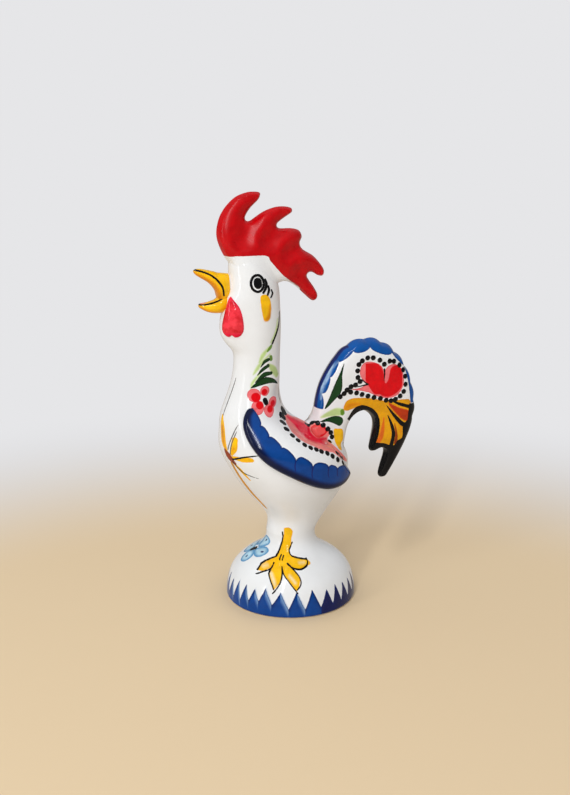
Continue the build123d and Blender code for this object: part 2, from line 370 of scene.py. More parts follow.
def map_range(tree, value, start, stop, low=0.0, high=1.0, shape="LINEAR"):
    """A value carried from the range start to stop onto low to high, and held at its ends."""
    values = {"Value": value, "From Min": start, "From Max": stop, "To Min": low, "To Max": high}
    return add_node(tree, "ShaderNodeMapRange", values, interpolation_type=shape).outputs[0]


def math_node(tree, operation, *values):
    """Numbers or outputs put through one operation."""
    return add_node(tree, "ShaderNodeMath", enumerate(values), operation=operation).outputs[0]


print("node helpers", [helper.__name__ for helper in (add_node, mix_colour, noise, map_range, math_node)])

# %% Painted glaze
# Two whites that cloud into each other
WHITE_GROUND = (srgb(240, 241, 242), srgb(234, 235, 235))
GLAZE_ROUGHNESS = (0.07, 0.15)
GLAZE_IOR = 1.3
# Grains are in turns per metre, the wander of an edge in mm and the swell of the glaze in metres
CLOUD_GRAIN, CLOUD_RANGE = 90, (0.34, 0.66)
BRUSH_GRAIN, BRUSH_ROUGHNESS, BRUSH_RANGE = 300, 0.68, (0.3, 0.72)
STREAK_RANGE = (0.8, 1.12)
SHAKE_GRAIN, WANDER = 1100, 0.22
SWELL_GRAIN, SWELL_STRENGTH, SWELL_HEIGHT = 160, 0.12, 0.0004


def painted_glaze(name, enamels, ground=WHITE_GROUND, roughness=GLAZE_ROUGHNESS, grain=CLOUD_GRAIN):
    """Clouded glaze with enamels laid over it one after another, each where its distance is below zero."""
    material = bpy.data.materials.new(name)
    material.use_nodes = True
    tree = material.node_tree
    shader = tree.nodes["Principled BSDF"]
    place = add_node(tree, "ShaderNodeTexCoord").outputs["Object"]
    cloud = noise(tree, place, grain, 3)
    brush = noise(tree, place, BRUSH_GRAIN, 5, Roughness=BRUSH_ROUGHNESS)
    shake = noise(tree, place, SHAKE_GRAIN, 2)
    colour = mix_colour(tree, map_range(tree, cloud, *CLOUD_RANGE), *ground)
    wander = math_node(tree, "MULTIPLY_ADD", shake, WANDER, -WANDER / 2)
    streak = map_range(tree, brush, *BRUSH_RANGE, *STREAK_RANGE)
    streak = add_node(tree, "ShaderNodeCombineColor", {0: streak, 1: streak, 2: streak}).outputs[0]
    for enamel in enamels:
        body, edge, width, cover, blur = ENAMELS[enamel]
        depth = add_node(tree, "ShaderNodeAttribute", attribute_name=enamel).outputs["Fac"]
        depth = math_node(tree, "ADD", depth, wander)
        mask = map_range(tree, depth, blur, -blur, high=cover, shape="SMOOTHSTEP")
        inner = map_range(tree, depth, 0.0, -width, shape="SMOOTHSTEP")
        paint = mix_colour(tree, 1.0, mix_colour(tree, inner, edge, body), streak, "MULTIPLY")
        colour = mix_colour(tree, mask, colour, paint)
    tree.links.new(colour, shader.inputs["Base Color"])
    tree.links.new(map_range(tree, brush, 0.0, 1.0, *roughness), shader.inputs["Roughness"])
    swell = noise(tree, place, SWELL_GRAIN, 1)
    relief = {"Strength": SWELL_STRENGTH, "Distance": SWELL_HEIGHT, "Height": swell}
    tree.links.new(add_node(tree, "ShaderNodeBump", relief).outputs[0], shader.inputs["Normal"])
    shader.inputs["IOR"].default_value = GLAZE_IOR
    return material


print("glaze white, linear", np.round(WHITE_GROUND[0][:3], 2))

# %% [markdown]
# ## The body and the foot
#
# The casting is round in plan at every height: an oval with a breast edge, a back edge and a
# half width. It could be sculpted, but a sculpt has no sizes to read. Those three numbers at a
# few heights, joined by splines, are the whole form, and a turn round the oval is the second
# parameter. The domed foot is the same form with equal numbers, so the foot, the waist, the
# breast and the neck run into one another without a step.

# %% The figure's profile
# Height, breast edge, back edge and half width, in mm
PROFILE = np.array([
    (0.0, -22.4, 22.4, 22.4), (2.0, -22.4, 22.4, 22.4), (6.0, -21.9, 21.9, 21.9),
    (10.0, -20.5, 20.5, 20.5), (15.2, -15.4, 15.4, 15.4), (18.2, -10.9, 10.9, 10.9),
    (24.0, -8.4, 8.4, 8.4), (29.0, -8.1, 11.0, 9.2), (33.5, -10.7, 13.8, 11.6),
    (39.5, -15.9, 17.7, 15.2), (45.0, -19.6, 19.6, 17.6), (50.0, -22.4, 19.6, 18.6),
    (54.5, -24.3, 17.4, 18.4), (58.5, -24.7, 12.0, 17.0), (62.0, -24.5, 5.4, 14.6),
    (66.0, -24.2, -0.6, 11.8), (70.5, -22.9, -3.2, 9.4), (76.5, -20.8, -4.0, 7.8),
    (83.0, -19.5, -4.0, 7.2), (90.0, -19.6, -3.8, 7.4), (98.0, -20.7, -3.6, 7.8),
    (105.0, -21.2, -3.9, 7.8), (110.0, -21.0, -4.4, 7.4), (114.5, -20.8, -6.2, 6.6),
    (118.5, -20.6, -8.4, 5.6), (122.0, -19.5, -11.0, 4.0),
])
# Heights at which one piece ends and the next starts
WAIST, SEAM, CROWN = 24.0, 71.0, 122.0
# The back is closed to a ridge between these heights
RIDGE_POWER, RIDGE_RISE, RIDGE_FALL = 0.8, (53, 60), (80, 72)


def oval_at(height):
    """Centre, half length and half width of the figure's oval at each height."""
    front, back, half = [natural_spline(PROFILE[:, 0], PROFILE[:, i], height) for i in (1, 2, 3)]
    return (front + back) / 2, (back - front) / 2, half


def ridge(height):
    """How far the back closes to a ridge: 0 on the rump and the neck, most on the saddle between them."""
    return RIDGE_POWER * smoothstep(*RIDGE_RISE, height) * smoothstep(*RIDGE_FALL, height)


def skin(turn, height):
    """A point of the oval at a height, whose back half narrows to a ridge.

    The turn goes from the breast to the left side, in degrees.
    """
    centre, length, half = oval_at(height)
    angle = np.radians(turn)
    x = centre - length * np.cos(angle)
    narrow = np.where(np.cos(angle) < 0, np.abs(np.sin(angle)) ** ridge(height), 1)
    y = -half * np.sin(angle) * narrow
    return np.stack(np.broadcast_arrays(x, y, height), axis=-1)


def skin_half_width(x, height):
    """How far the figure reaches to each side at a place of the side view, below zero outside it."""
    centre, length, half = oval_at(np.clip(height, 0, CROWN))
    across = 1 - ((x - centre) / length) ** 2
    power = 0.5 * (1 + np.where(x > centre, ridge(height), 0))
    return np.where(height > CROWN, -FAR, half * np.sign(across) * np.abs(across) ** power)


print("half widths at the waist and at the seam in mm", np.round(oval_at(np.array([WAIST, SEAM]))[2], 1))

# %% Sheets for the paint
# The front sheet ends at this X, and thick enamel rounds off within this width, in mm
FRONT_END = -4.0
OUT_OF_REACH = 999.0
PAINT_ROLL = 0.5


def spans(*pieces):
    """Values from several (start, stop, step) spans, one after another."""
    parts = [np.arange(start, stop - step / 2, step) for start, stop, step in pieces]
    return np.concatenate([*parts, [pieces[-1][1]]])


def side_sheet(points):
    """Places in the side view, the same for both sides."""
    flat = points.reshape(-1, 3)
    return flat[:, [0, 2]]


def front_sheet(points):
    """Places in the front view, left of the breast below zero; the back half is put out of reach."""
    flat = points.reshape(-1, 3)
    return np.where(flat[:, :1] < FRONT_END, flat[:, 1:], OUT_OF_REACH)


def merge(*groups):
    """Paint marks of several sheets in one set, in the order in which the enamels lie."""
    names = [name for name in ENAMELS if any(name in group for group in groups)]
    return {name: nearest(*[group[name] for group in groups if name in group]) for name in names}


def raise_paint(grid, marks, closed, heights):
    """The grid moved outwards where thick enamel lies, by each enamel's own height."""
    normals = grid_normals(grid, closed)
    lift = np.zeros(grid.shape[:2])
    for mark, height in heights.items():
        cover = rolled(-marks[mark] / PAINT_ROLL).reshape(lift.shape)
        lift = np.maximum(lift, height * cover)
    return grid + normals * lift[..., None]


print("the side view of (1, 2, 3) is", side_sheet(np.array([(1, 2, 3)]))[0])

# %% [markdown]
# ## Face, flowers and leaves
#
# A petal is one press of the brush: a red spot on a wider pink one. A leaf is a stroke that
# swells and ends in a point, and the eye is a ring round a dot. Each could be a small mesh laid
# on the clay, but enamel melts into the glaze, so they are only paint, a little raised where
# the brush was full. The upper casting carries most of them, so it is made here too.

# %% Motif helpers
def ring(centre, across, up, half):
    """A closed stroke round an ellipse."""
    turns = np.radians(np.arange(0, 360, 30))
    x, z = centre
    return np.stack([x + across * np.cos(turns), z + up * np.sin(turns), np.full(len(turns), half)], axis=1)


def lines(groups, half):
    """Strokes of one even half width."""
    return [[(x, z, half) for x, z in points] for points in groups]


# %% Eye, ear and spray
# X and Z in the side view, and for a stroke the half width there, in mm
EYE = (-13.0, 111.7)
EYE_ACROSS, EYE_UP, EYE_LINE = 2.1, 2.6, 0.44
PUPIL = [(-12.95, 112.2, 1.35), (-12.85, 111.3, 1.35)]
LASHES = [
    [(-10.35, 112.7, 0.42), (-9.95, 111.4, 0.5), (-10.3, 110.0, 0.5), (-11.2, 108.6, 0.4)],
    [(-9.3, 110.6, 0.32), (-9.15, 109.3, 0.46), (-9.7, 107.9, 0.4)],
    [(-8.2, 109.3, 0.24), (-7.9, 108.1, 0.38), (-8.5, 106.9, 0.3)],
]
EAR = [
    (-12.2, 107.4), (-11.0, 108.1), (-9.5, 107.5), (-8.6, 105.4), (-8.6, 102.5), (-9.0, 100.1),
    (-10.0, 99.3), (-11.1, 99.8), (-11.7, 102.0), (-12.1, 104.9),
]
EAR_SHADE = [(-9.0, 104.4, 0.3), (-9.1, 101.4, 0.7), (-10.2, 99.6, 0.9)]
SPRAY_STEM = [(-4.9, 101.6, 0.18), (-5.4, 97.6, 0.34), (-6.4, 94.9, 0.38), (-8.1, 91.6, 0.34)]
SPRAY_LEAVES = [
    [(-9.5, 86.4, 0.6), (-10.8, 85.8, 0.55), (-12.2, 84.0, 0.1)],
    [(-9.6, 84.4, 0.6), (-11.6, 83.1, 0.55), (-13.4, 81.3, 0.1)],
    [(-8.5, 81.7, 0.6), (-11.1, 81.4, 0.75), (-14.1, 79.0, 0.12)],
]
BIG_LEAF = [
    (-15.6, 77.2), (-13.0, 79.6), (-10.6, 80.6), (-8.1, 80.0), (-6.4, 78.6), (-5.5, 77.2),
    (-7.2, 78.0), (-9.2, 78.4), (-12.2, 78.0),
]
FRESH_DROPS = [
    [(-8.1, 91.6, 0.12), (-8.8, 90.4, 0.55), (-9.8, 89.2, 0.3)],
    [(-8.6, 87.2, 0.6), (-8.5, 86.4, 0.65)],
]
PALE_LEAVES = [
    [(-5.9, 99.4, 0.2), (-6.6, 95.6, 0.4), (-8.6, 92.0, 0.3)],
    [(-9.4, 90.4, 0.4), (-11.4, 88.0, 0.75), (-12.6, 85.6, 0.3)],
    [(-9.0, 88.0, 0.3), (-11.8, 85.6, 0.5), (-13.4, 83.4, 0.6), (-14.6, 81.6, 0.2)],
    [(-12.4, 82.0, 0.3), (-14.8, 79.0, 0.5), (-15.6, 76.8, 0.1)],
    [(-9.2, 84.6, 0.5), (-7.6, 82.8, 1.2), (-6.2, 80.6, 0.9)],
]
print("leaves", len(SPRAY_LEAVES) + len(PALE_LEAVES) + 1, "lashes", len(LASHES))

# %% Red flower
# X, Z and half width in the side view, in mm
FLOWER_CENTRE = [(-11.1, 73.1, 0.85), (-10.7, 72.2, 0.85)]
# Each petal's pink spot and its red core: X, Z and radius of each
PETALS = [
    ((-14.6, 74.9, 2.2), (-14.1, 74.2, 1.55)),
    ((-10.9, 76.1, 1.65), (-11.1, 75.8, 1.05)),
    ((-8.0, 71.9, 1.75), (-8.05, 71.5, 1.0)),
    ((-9.8, 69.8, 2.0), (-9.4, 70.05, 1.15)),
    ((-13.7, 71.1, 2.1), (-13.0, 71.7, 1.3)),
]


def flower_paint(q):
    """The red flower on the side sheet: pink rings round red cores, and a black centre."""
    return {
        "pink": strokes(q, [[spot] for spot, core in PETALS]),
        "red": strokes(q, [[core] for spot, core in PETALS]),
        "black": stroke(q, FLOWER_CENTRE),
    }


def neck_paint(q):
    """Eye, ear, spray and red flower, on the side sheet."""
    flower = flower_paint(q)
    ear = patches(q, EAR)
    eye = nearest(stroke(q, ring(EYE, EYE_ACROSS, EYE_UP, EYE_LINE), closed=True), stroke(q, PUPIL))
    return {
        "pale_green": strokes(q, PALE_LEAVES),
        "fresh": strokes(q, FRESH_DROPS),
        "leaf": nearest(strokes(q, SPRAY_LEAVES), patches(q, BIG_LEAF)),
        "yellow": ear,
        "honey": np.maximum(stroke(q, EAR_SHADE), ear),
        **flower,
        "black": nearest(flower["black"], eye, strokes(q, LASHES), stroke(q, SPRAY_STEM)),
    }


print("petals", len(PETALS))

# %% Neck and head
# Height and how far the throat stands forwards there
THROAT = np.array([
    (84.0, 0.0), (86.0, 0.0), (87.5, 0.15), (88.9, 0.7), (90.7, 2.0), (93.2, 3.3), (95.9, 3.6),
    (98.6, 3.0), (101.5, 2.3), (104.5, 1.7), (107.0, 0.9), (109.0, 0.15), (110.5, 0.0), (113.0, 0.0),
])
# The push fades out between these turns away from the breast
THROAT_FADE = (80, 12)
# A thin line climbs from the breast onto the neck: Y, Z and half width in the front view
NECK_LINE = [(-2.6, 79.8, 0.17), (-2.2, 74.0, 0.22), (-2.0, 67.4, 0.24)]
SEAM_TIP, CROWN_TIP = (-13.0, 0, SEAM), (-15.2, 0, CROWN + 1)
# The step of the turns, in degrees, and the count of rows
NECK_TURN, NECK_ROWS = 1.2, 240


def throat(turn, height):
    """The figure's skin with the throat pushed forwards, less and less towards the side."""
    points = skin(turn, height)
    away = np.abs((turn + 180) % 360 - 180)
    push = natural_spline(*THROAT.T, height)
    inside = (height > THROAT[0, 0]) & (height < THROAT[-1, 0])
    points[..., 0] -= np.where(inside, push, 0) * smoothstep(*THROAT_FADE, away)
    return points


def make_neck():
    """The upper casting on a grid of turns and heights, closed inside the comb and at its foot."""
    turn = np.arange(0, 360, NECK_TURN)
    height = np.linspace(SEAM, CROWN, NECK_ROWS)
    grid = throat(turn[None, :], height[:, None])
    marks = {**neck_paint(side_sheet(grid)), "grey": stroke(front_sheet(grid), NECK_LINE)}
    grid = raise_paint(grid, marks, True, {"black": 0.12, "yellow": 0.08})
    points, faces, marks, edges = closed_tube(grid, (SEAM_TIP, CROWN_TIP), marks)
    material = painted_glaze("neck_glaze", marks)
    add_piece("neck_and_head", points, faces, "body", material, marks, edges)


make_neck()

# %% [markdown]
# ## Breast flower
#
# The yellow flower sits in the middle of the breast. The side view would stretch it round the
# curve, so its sheet is the front view. Its petals spread from a brown heart, thin dark lines
# follow them, and an ochre stem runs down towards the waist.

# %% Breast paint
# Y, Z and half width in the front view, in mm
BREAST_PETALS = [
    [(-1.6, 67.0, 0.6), (-2.4, 63.5, 1.5), (-3.8, 59.0, 1.5), (-5.5, 56.1, 0.7)],
    [(-9.0, 60.4, 1.05), (-9.0, 57.6, 1.2), (-7.9, 55.4, 0.6)],
    [(-8.0, 54.3, 0.5), (-11.2, 54.3, 0.85), (-13.6, 54.7, 0.8)],
    [(-7.4, 52.2, 0.5), (-9.1, 49.8, 0.75), (-10.3, 46.7, 0.3)],
]
BREAST_LINES = [
    [(-8.9, 65.6, 0.1), (-8.0, 61.7, 0.2), (-6.4, 56.6, 0.24)],
    [(-9.1, 63.4, 0.1), (-8.3, 59.8, 0.2), (-7.3, 55.3, 0.24)],
    [(-7.6, 53.4, 0.32), (-12.6, 55.5, 0.26), (-17.2, 57.2, 0.1)],
    [(-7.2, 52.4, 0.3), (-9.7, 49.2, 0.24), (-13.5, 47.9, 0.1)],
]
BREAST_HEART = [(-4.7, 55.9, 0.7), (-6.2, 54.0, 1.5), (-7.9, 52.2, 0.7)]
BREAST_STEM = [
    (-6.2, 51.5, 0.7), (-6.0, 46.7, 0.85), (-6.2, 42.5, 0.9), (-6.0, 38.6, 0.85), (-5.0, 34.4, 0.6),
]
HONEY_INSET = 0.75


def breast_paint(q):
    """The yellow flower on the front sheet."""
    return {
        "yellow": strokes(q, BREAST_PETALS),
        "honey": strokes(q, [petal[1:] for petal in BREAST_PETALS]) + HONEY_INSET,
        "ochre": stroke(q, BREAST_STEM),
        "brown": stroke(q, BREAST_HEART),
        "grey": strokes(q, [NECK_LINE, *BREAST_LINES[:2]]),
        "black": strokes(q, BREAST_LINES[2:]),
    }


print("breast strokes", len(BREAST_PETALS) + len(BREAST_LINES))

# %% [markdown]
# ## Hearts on the back
#
# A heart lies on each side of the back, where the wing, the body and the root of the tail run
# into one another. All three pieces take their paint from the same function, so the drawing
# crosses the seams. The surface slopes there, and a round spot drawn on the side view would
# come out long. So each dot is a small ball instead: its middle is the point of the surface at
# its place, and the paint reaches as far as the ball does.

# %% Heart paint
# X and Z in the side view, and for a stroke the half width there, in mm
BACK_HEART = [
    (-2.9, 66.2), (-0.3, 64.7), (3.0, 63.0), (4.8, 61.9), (5.8, 61.3), (6.5, 61.6), (8.1, 62.2),
    (9.8, 61.8), (11.2, 60.2), (11.7, 58.5), (10.6, 57.2), (11.6, 56.1), (13.6, 54.2), (17.4, 49.6),
    (11.0, 55.3), (8.9, 56.3), (5.7, 57.6), (2.7, 59.1), (-0.2, 60.7), (-2.4, 62.6), (-3.4, 64.1),
]
HEART_DARK = [
    (-2.4, 65.8), (0.7, 64.0), (3.7, 62.3), (5.4, 61.2), (5.1, 60.1), (6.7, 58.7), (10.7, 57.6),
    (8.2, 57.8), (4.4, 59.1), (2.0, 60.2), (0.7, 61.6), (-0.4, 63.3), (-1.9, 64.9),
]
HEART_LOBE = [
    (5.7, 60.4), (7.0, 61.7), (8.7, 62.0), (10.4, 61.4), (11.3, 60.0), (10.4, 58.6), (8.2, 58.4),
    (6.4, 59.1),
]
LOBE_EDGE = [(10.2, 61.3, 0.3), (11.2, 60.0, 0.55), (10.6, 58.7, 0.5), (8.6, 58.4, 0.25)]
# How far the colours spread past their outlines
HEART_SPREAD, FOLD_SPREAD = 0.35, 0.15
# X, Z and radius of each dot; those that are seen edge on are larger
HEART_DOTS = [
    (-3.4, 67.4, 1.8), (-4.6, 66.5, 1.7), (-5.5, 65.5, 1.4), (-5.2, 64.1, 1.15), (-3.7, 62.5, 1.0),
    (-2.2, 61.0, 0.95), (-0.2, 59.6, 0.95), (1.8, 58.5, 0.95), (3.8, 57.7, 0.95), (5.6, 56.9, 0.95),
    (7.6, 55.9, 0.95), (9.5, 54.8, 0.95), (11.5, 53.2, 0.95), (13.8, 51.3, 0.95), (5.3, 61.6, 1.1),
    (6.8, 62.1, 1.0), (8.2, 62.7, 0.9), (9.9, 62.0, 0.9), (11.6, 60.6, 0.9), (12.6, 59.1, 0.85),
    (13.0, 57.7, 0.85), (11.6, 56.7, 0.8), (11.8, 54.9, 0.85), (13.2, 53.3, 0.85), (14.8, 51.6, 0.85),
]
YELLOW_PATCH = [
    (13.6, 60.1), (15.3, 60.3), (16.9, 59.7), (17.3, 56.3), (16.4, 54.9), (15.4, 53.7), (14.2, 54.5),
    (13.8, 56.7),
]
# A dot's place counts as on the piece when a vertex is this near in the side view
DOT_NEAR = 0.4


def beads(points, places):
    """Distance to the nearest ball, in three dimensions; a place that lies off the piece gives none."""
    flat = np.stack([points[..., 0], np.abs(points[..., 1]), points[..., 2]], axis=-1).reshape(-1, 3)
    found = [np.full(len(flat), FAR)]
    for x, z, radius in places:
        away = np.hypot(flat[:, 0] - x, flat[:, 2] - z)
        if away.min() < DOT_NEAR:
            found.append(np.linalg.norm(flat - flat[np.argmin(away)], axis=1) - radius)
    return nearest(*found)


def heart_paint(points):
    """A salmon heart with a trailing point, its crimson fold and round lobe, and the dots round it."""
    q = side_sheet(points)
    lobe = patches(q, HEART_LOBE)
    return {
        "salmon": patches(q, BACK_HEART) - HEART_SPREAD,
        "crimson": patches(q, HEART_DARK) - FOLD_SPREAD,
        "coral": lobe,
        "red": np.maximum(lobe, stroke(q, LOBE_EDGE)),
        "black": beads(points, HEART_DOTS),
    }


print("heart dots", len(HEART_DOTS))

# %% [markdown]
# ## Painted feet and the zig-zag rim
#
# Each foot is yellow, with four toes, and a quick black outline that doesn't quite follow the
# colour, so outline and colour are drawn apart. The rim of the base carries a row of blue teeth.
# A tooth is a straight line up and down again as the turn goes round, so the row is one formula
# and not a drawing. A sky-blue flower sits on the front of the dome.

# %% Foot paint
# X and Z in the side view, and for a stroke the half width there, in mm
LEG = [
    (-4.2, 26.9), (-4.4, 24.6), (-4.9, 22.0), (-6.3, 19.1), (-8.0, 17.2), (-8.6, 15.8), (-6.7, 15.2),
    (-4.6, 15.8), (-2.6, 17.8), (-3.0, 18.9), (-2.2, 21.3), (-2.0, 23.4), (-1.6, 25.9), (-2.6, 27.2),
]
TOES = [
    [
        (-7.6, 17.5), (-9.7, 16.8), (-12.1, 15.7), (-14.3, 14.1), (-13.2, 13.9), (-10.6, 14.9),
        (-8.3, 16.1),
    ],
    [
        (-8.3, 16.3), (-10.7, 14.6), (-11.5, 13.0), (-11.2, 11.2), (-11.1, 9.5), (-9.4, 11.0),
        (-7.6, 13.1), (-6.7, 15.5),
    ],
    [
        (-6.7, 15.7), (-6.8, 13.6), (-5.3, 11.6), (-3.6, 9.5), (-2.5, 11.0), (-1.9, 12.9),
        (-2.8, 14.4), (-4.6, 16.1),
    ],
    [
        (-4.6, 16.4), (-3.3, 15.3), (-1.6, 15.0), (0.7, 15.4), (3.1, 15.9), (2.2, 17.0), (-0.2, 17.5),
        (-2.6, 18.1),
    ],
]
TOE_LIGHTS = [
    [(-10.7, 13.8, 0.6), (-10.4, 11.8, 0.6), (-10.4, 10.8, 0.3)],
    [(-5.0, 13.4, 0.5), (-3.8, 11.8, 0.5)],
    [(-12.6, 15.0, 0.3), (-11.0, 15.5, 0.3)],
    [(-0.8, 16.4, 0.3), (1.0, 16.4, 0.3)],
]
# Two lines run onto the front of the dome, where the side view is steep, so they are thinner
FRONT_LINES = [
    [(-6.3, 19.1), (-7.5, 17.8), (-9.7, 16.9), (-12.4, 15.6), (-14.5, 13.8)],
    [(-8.8, 16.3), (-10.5, 14.8), (-13.0, 13.8), (-15.2, 12.8)],
]
FOOT_LINES = [
    [(-4.8, 25.5), (-4.7, 23.7), (-5.1, 21.6), (-6.3, 19.1), (-7.5, 17.8)],
    [(-1.8, 22.0), (-2.4, 20.7), (-3.1, 19.4), (-2.7, 18.1), (-0.5, 17.5), (2.1, 17.0)],
    [(2.1, 17.2), (2.2, 16.4), (1.4, 15.6), (-0.7, 15.0), (-3.3, 15.3), (-4.6, 16.3)],
    [(-10.6, 14.6), (-11.4, 13.6), (-11.4, 11.9), (-10.9, 9.7)],
    [(-6.8, 15.5), (-7.5, 13.6), (-8.9, 11.2), (-11.4, 8.4)],
    [(-6.9, 15.2), (-6.8, 13.6), (-5.4, 11.5), (-3.4, 8.7)],
    [(-4.8, 16.3), (-2.8, 14.4), (-1.9, 12.9), (-2.0, 11.2), (-3.4, 9.8)],
]
FOOT_TICKS = [[(-6.6, 17.4), (-5.8, 18.3)], [(-6.1, 17.0), (-5.2, 18.1)], [(-6.9, 17.0), (-6.6, 17.4)]]
FRONT_HALF, FOOT_HALF, TICK_HALF = 0.15, 0.22, 0.17
FAR_FOOT_STEP = 4.0


def foot_sheet(points):
    """The side view, with the far foot moved back a little, as the painter set it."""
    flat = points.reshape(-1, 3)
    return side_sheet(points) - np.where(flat[:, 1:2] > 0, (FAR_FOOT_STEP, 0), (0, 0))


def foot_paint(q):
    """A yellow foot with its black outline, on the side sheet."""
    black = [lines(FRONT_LINES, FRONT_HALF), lines(FOOT_LINES, FOOT_HALF), lines(FOOT_TICKS, TICK_HALF)]
    return {
        "yellow": patches(q, LEG, *TOES),
        "cream": strokes(q, TOE_LIGHTS),
        "black": nearest(*[strokes(q, group) for group in black]),
    }


print("toes", len(TOES), "outline strokes", len(FRONT_LINES) + len(FOOT_LINES))

# %% Rim of the base
# Five teeth round the middle one are wider; turns are in degrees from the breast to the left
TEETH, WIDE_TEETH = 32, 5
TOOTH_MIDDLE, TOOTH_WIDER = 79.6, 3.9
# Heights of the valleys and the peaks, and how uneven the peaks are
TOOTH_VALLEY, TOOTH_PEAK, TOOTH_UNEVEN, UNEVEN_STEP = 3.2, 9.3, 0.45, 2.4
# A height over the slanting edge, times this, is the distance from it
TOOTH_LEAN = 0.34
# The valleys are shallower round one turn
SHALLOW_TURN, SHALLOW_REACH, SHALLOW_RISE = 48, 18, 2.0
# Between two turns, one flank of each tooth has a pale wash
WASH_START, WASH_STOP = -20, 92
WASH_INSET, WASH_FOOT = 0.75, 1.4
# The teeth at the back, counted from the middle one, are darker
DARK_MIDDLE, DARK_REACH, DARK_FALL = 7.5, 6, 4
# A dark line runs round the foot, and the clay is bare below it
FOOT_LINE, BARE_CLAY = 0.75, 0.12


def rim_paint(points):
    """Blue teeth: the edge rises and falls in straight lines with the turn; those at the side are wider."""
    flat = points.reshape(-1, 3)
    height = flat[:, 2]
    count = np.arange(-TEETH // 2, TEETH // 2 + 1)
    wide = WIDE_TEETH // 2
    narrow = (360 - 2 * wide * TOOTH_WIDER) / TEETH
    peaks = TOOTH_MIDDLE + narrow * count + TOOTH_WIDER * np.clip(count, -wide, wide)
    turn = np.degrees(np.arctan2(-flat[:, 1], -flat[:, 0]))
    turn = (turn - peaks[0]) % 360 + peaks[0]
    step = np.interp(turn, peaks, count)
    middle = np.round(step)
    side = step - middle
    peak = TOOTH_PEAK + TOOTH_UNEVEN * np.sin(middle * UNEVEN_STEP)
    valley = TOOTH_VALLEY + SHALLOW_RISE * np.exp(-(((turn - SHALLOW_TURN) / SHALLOW_REACH) ** 2))
    edge = valley + (peak - valley) * (1 - 2 * np.abs(side))
    teeth = (height - edge) * TOOTH_LEAN
    washed = (side > 0) & (turn > WASH_START) & (turn < WASH_STOP)
    flank = np.maximum(-teeth - WASH_INSET, WASH_FOOT - height)
    dark = np.maximum(teeth, (np.abs(step - DARK_MIDDLE) - DARK_REACH) * DARK_FALL)
    return {
        "cobalt": teeth,
        "wash": np.maximum(np.where(washed, flank, FAR), teeth),
        "navy": nearest(height - FOOT_LINE, dark),
        "clay": height - BARE_CLAY,
    }


print("teeth", TEETH)

# %% Flower of the base
# The flower's Y and Z, and the scale of its own sheet
BASE_FLOWER, BASE_FLOWER_SCALE = (2.0, 16.8), (0.6, 1.0)
# Each petal's middle on the flower's own sheet, and its radius
BASE_PETALS = [
    (-1.5, 3.6, 1.7), (-3.1, 0.75, 1.5), (-0.9, -1.7, 1.7), (2.4, -0.6, 1.8), (1.8, 3.2, 1.7),
]
BASE_CENTRE = [(0.4, -0.4, 0.5), (-0.4, 0.4, 0.5)]
# The shares of the way to its middle at which a petal starts and its dot ends, and the dot's half widths
PETAL_ROOT, DOT_OUTER, DOT_START, DOT_END = 0.5, 1.12, 0.2, 0.24


def base_flower_paint(points):
    """A sky-blue flower on the front of the dome: five petals with a dot each, round a black centre."""
    q = (front_sheet(points) - BASE_FLOWER) * BASE_FLOWER_SCALE
    petals = [[(x * PETAL_ROOT, z * PETAL_ROOT, r * PETAL_ROOT), (x, z, r)] for x, z, r in BASE_PETALS]
    dots = [[(x, z, DOT_START), (x * DOT_OUTER, z * DOT_OUTER, DOT_END)] for x, z, r in BASE_PETALS]
    return {"sky": strokes(q, petals), "navy": strokes(q, dots), "black": stroke(q, BASE_CENTRE)}


print("petals", len(BASE_PETALS))

# %% [markdown]
# ## Torso and domed foot
#
# On the real figure the torso and the foot are cast in a mould and meet at the waist. A coarse
# mesh with a Subdivision Surface could give their form, but the paint needs many vertices where
# its lines are thin. So each is a grid with close steps there and wider ones elsewhere. The foot
# is hollow: its profile runs on under the foot ring and up the inside to a pour hole.

# %% Torso
# Start, stop and step of the turns, in degrees, and the step of the heights, in mm
BREAST_TURNS, BACK_TURNS, HEIGHT_STEP = (-50, 50, 0.62), (50, 310, 1.1), 0.235
WAIST_TIP = (0, 0, WAIST)


def make_torso():
    """The lower casting on a grid that is finer on the breast, where the thin lines are."""
    turn = spans(BREAST_TURNS, BACK_TURNS)[:-1]
    height = spans((WAIST, SEAM, HEIGHT_STEP))
    grid = skin(turn[None, :], height[:, None])
    side = side_sheet(grid)
    front = breast_paint(front_sheet(grid))
    back = {"yellow": patches(side, YELLOW_PATCH), **heart_paint(grid)}
    marks = merge(front, foot_paint(foot_sheet(grid)), neck_paint(side), back)
    grid = raise_paint(grid, marks, True, {"yellow": 0.04})
    points, faces, marks, edges = closed_tube(grid, (WAIST_TIP, SEAM_TIP), marks)
    material = painted_glaze("torso_glaze", marks)
    add_piece("torso", points, faces, "body", material, marks, edges)


make_torso()

# %% Domed foot
# Start, stop and step of the turns, in degrees, and of the heights of the dome, in mm
FOOT_TURNS = [(-40, 110, 0.66), (110, 250, 1.0), (250, 320, 0.66)]
DOME_HEIGHTS = (0.5, WAIST, 0.19)
# Radius and height under the foot ring and across the floor to the pour hole
FOOT_RING = [
    (21.9, 0.2), (21.5, 0.02), (21.0, 0), (18.9, 0), (18.4, 0.25), (18.2, 1.2), (12.0, 1.25),
    (5.3, 1.25), (5.0, 1.6),
]
RING_ROWS = 40
# Radius and height on through the hole and up the hollow inside
FOOT_INSIDE = [
    (5.0, 3.4), (12, 3.6), (18.6, 4.2), (17.5, 8.5), (12.4, 13.0), (5.6, 18.0), (5.2, WAIST),
    (6.8, WAIST),
]
# The foot of the dome draws in by this much below 1 mm, and shows no bare clay above this height
FOOT_EASE, CLAY_TOP = 0.7, 0.4


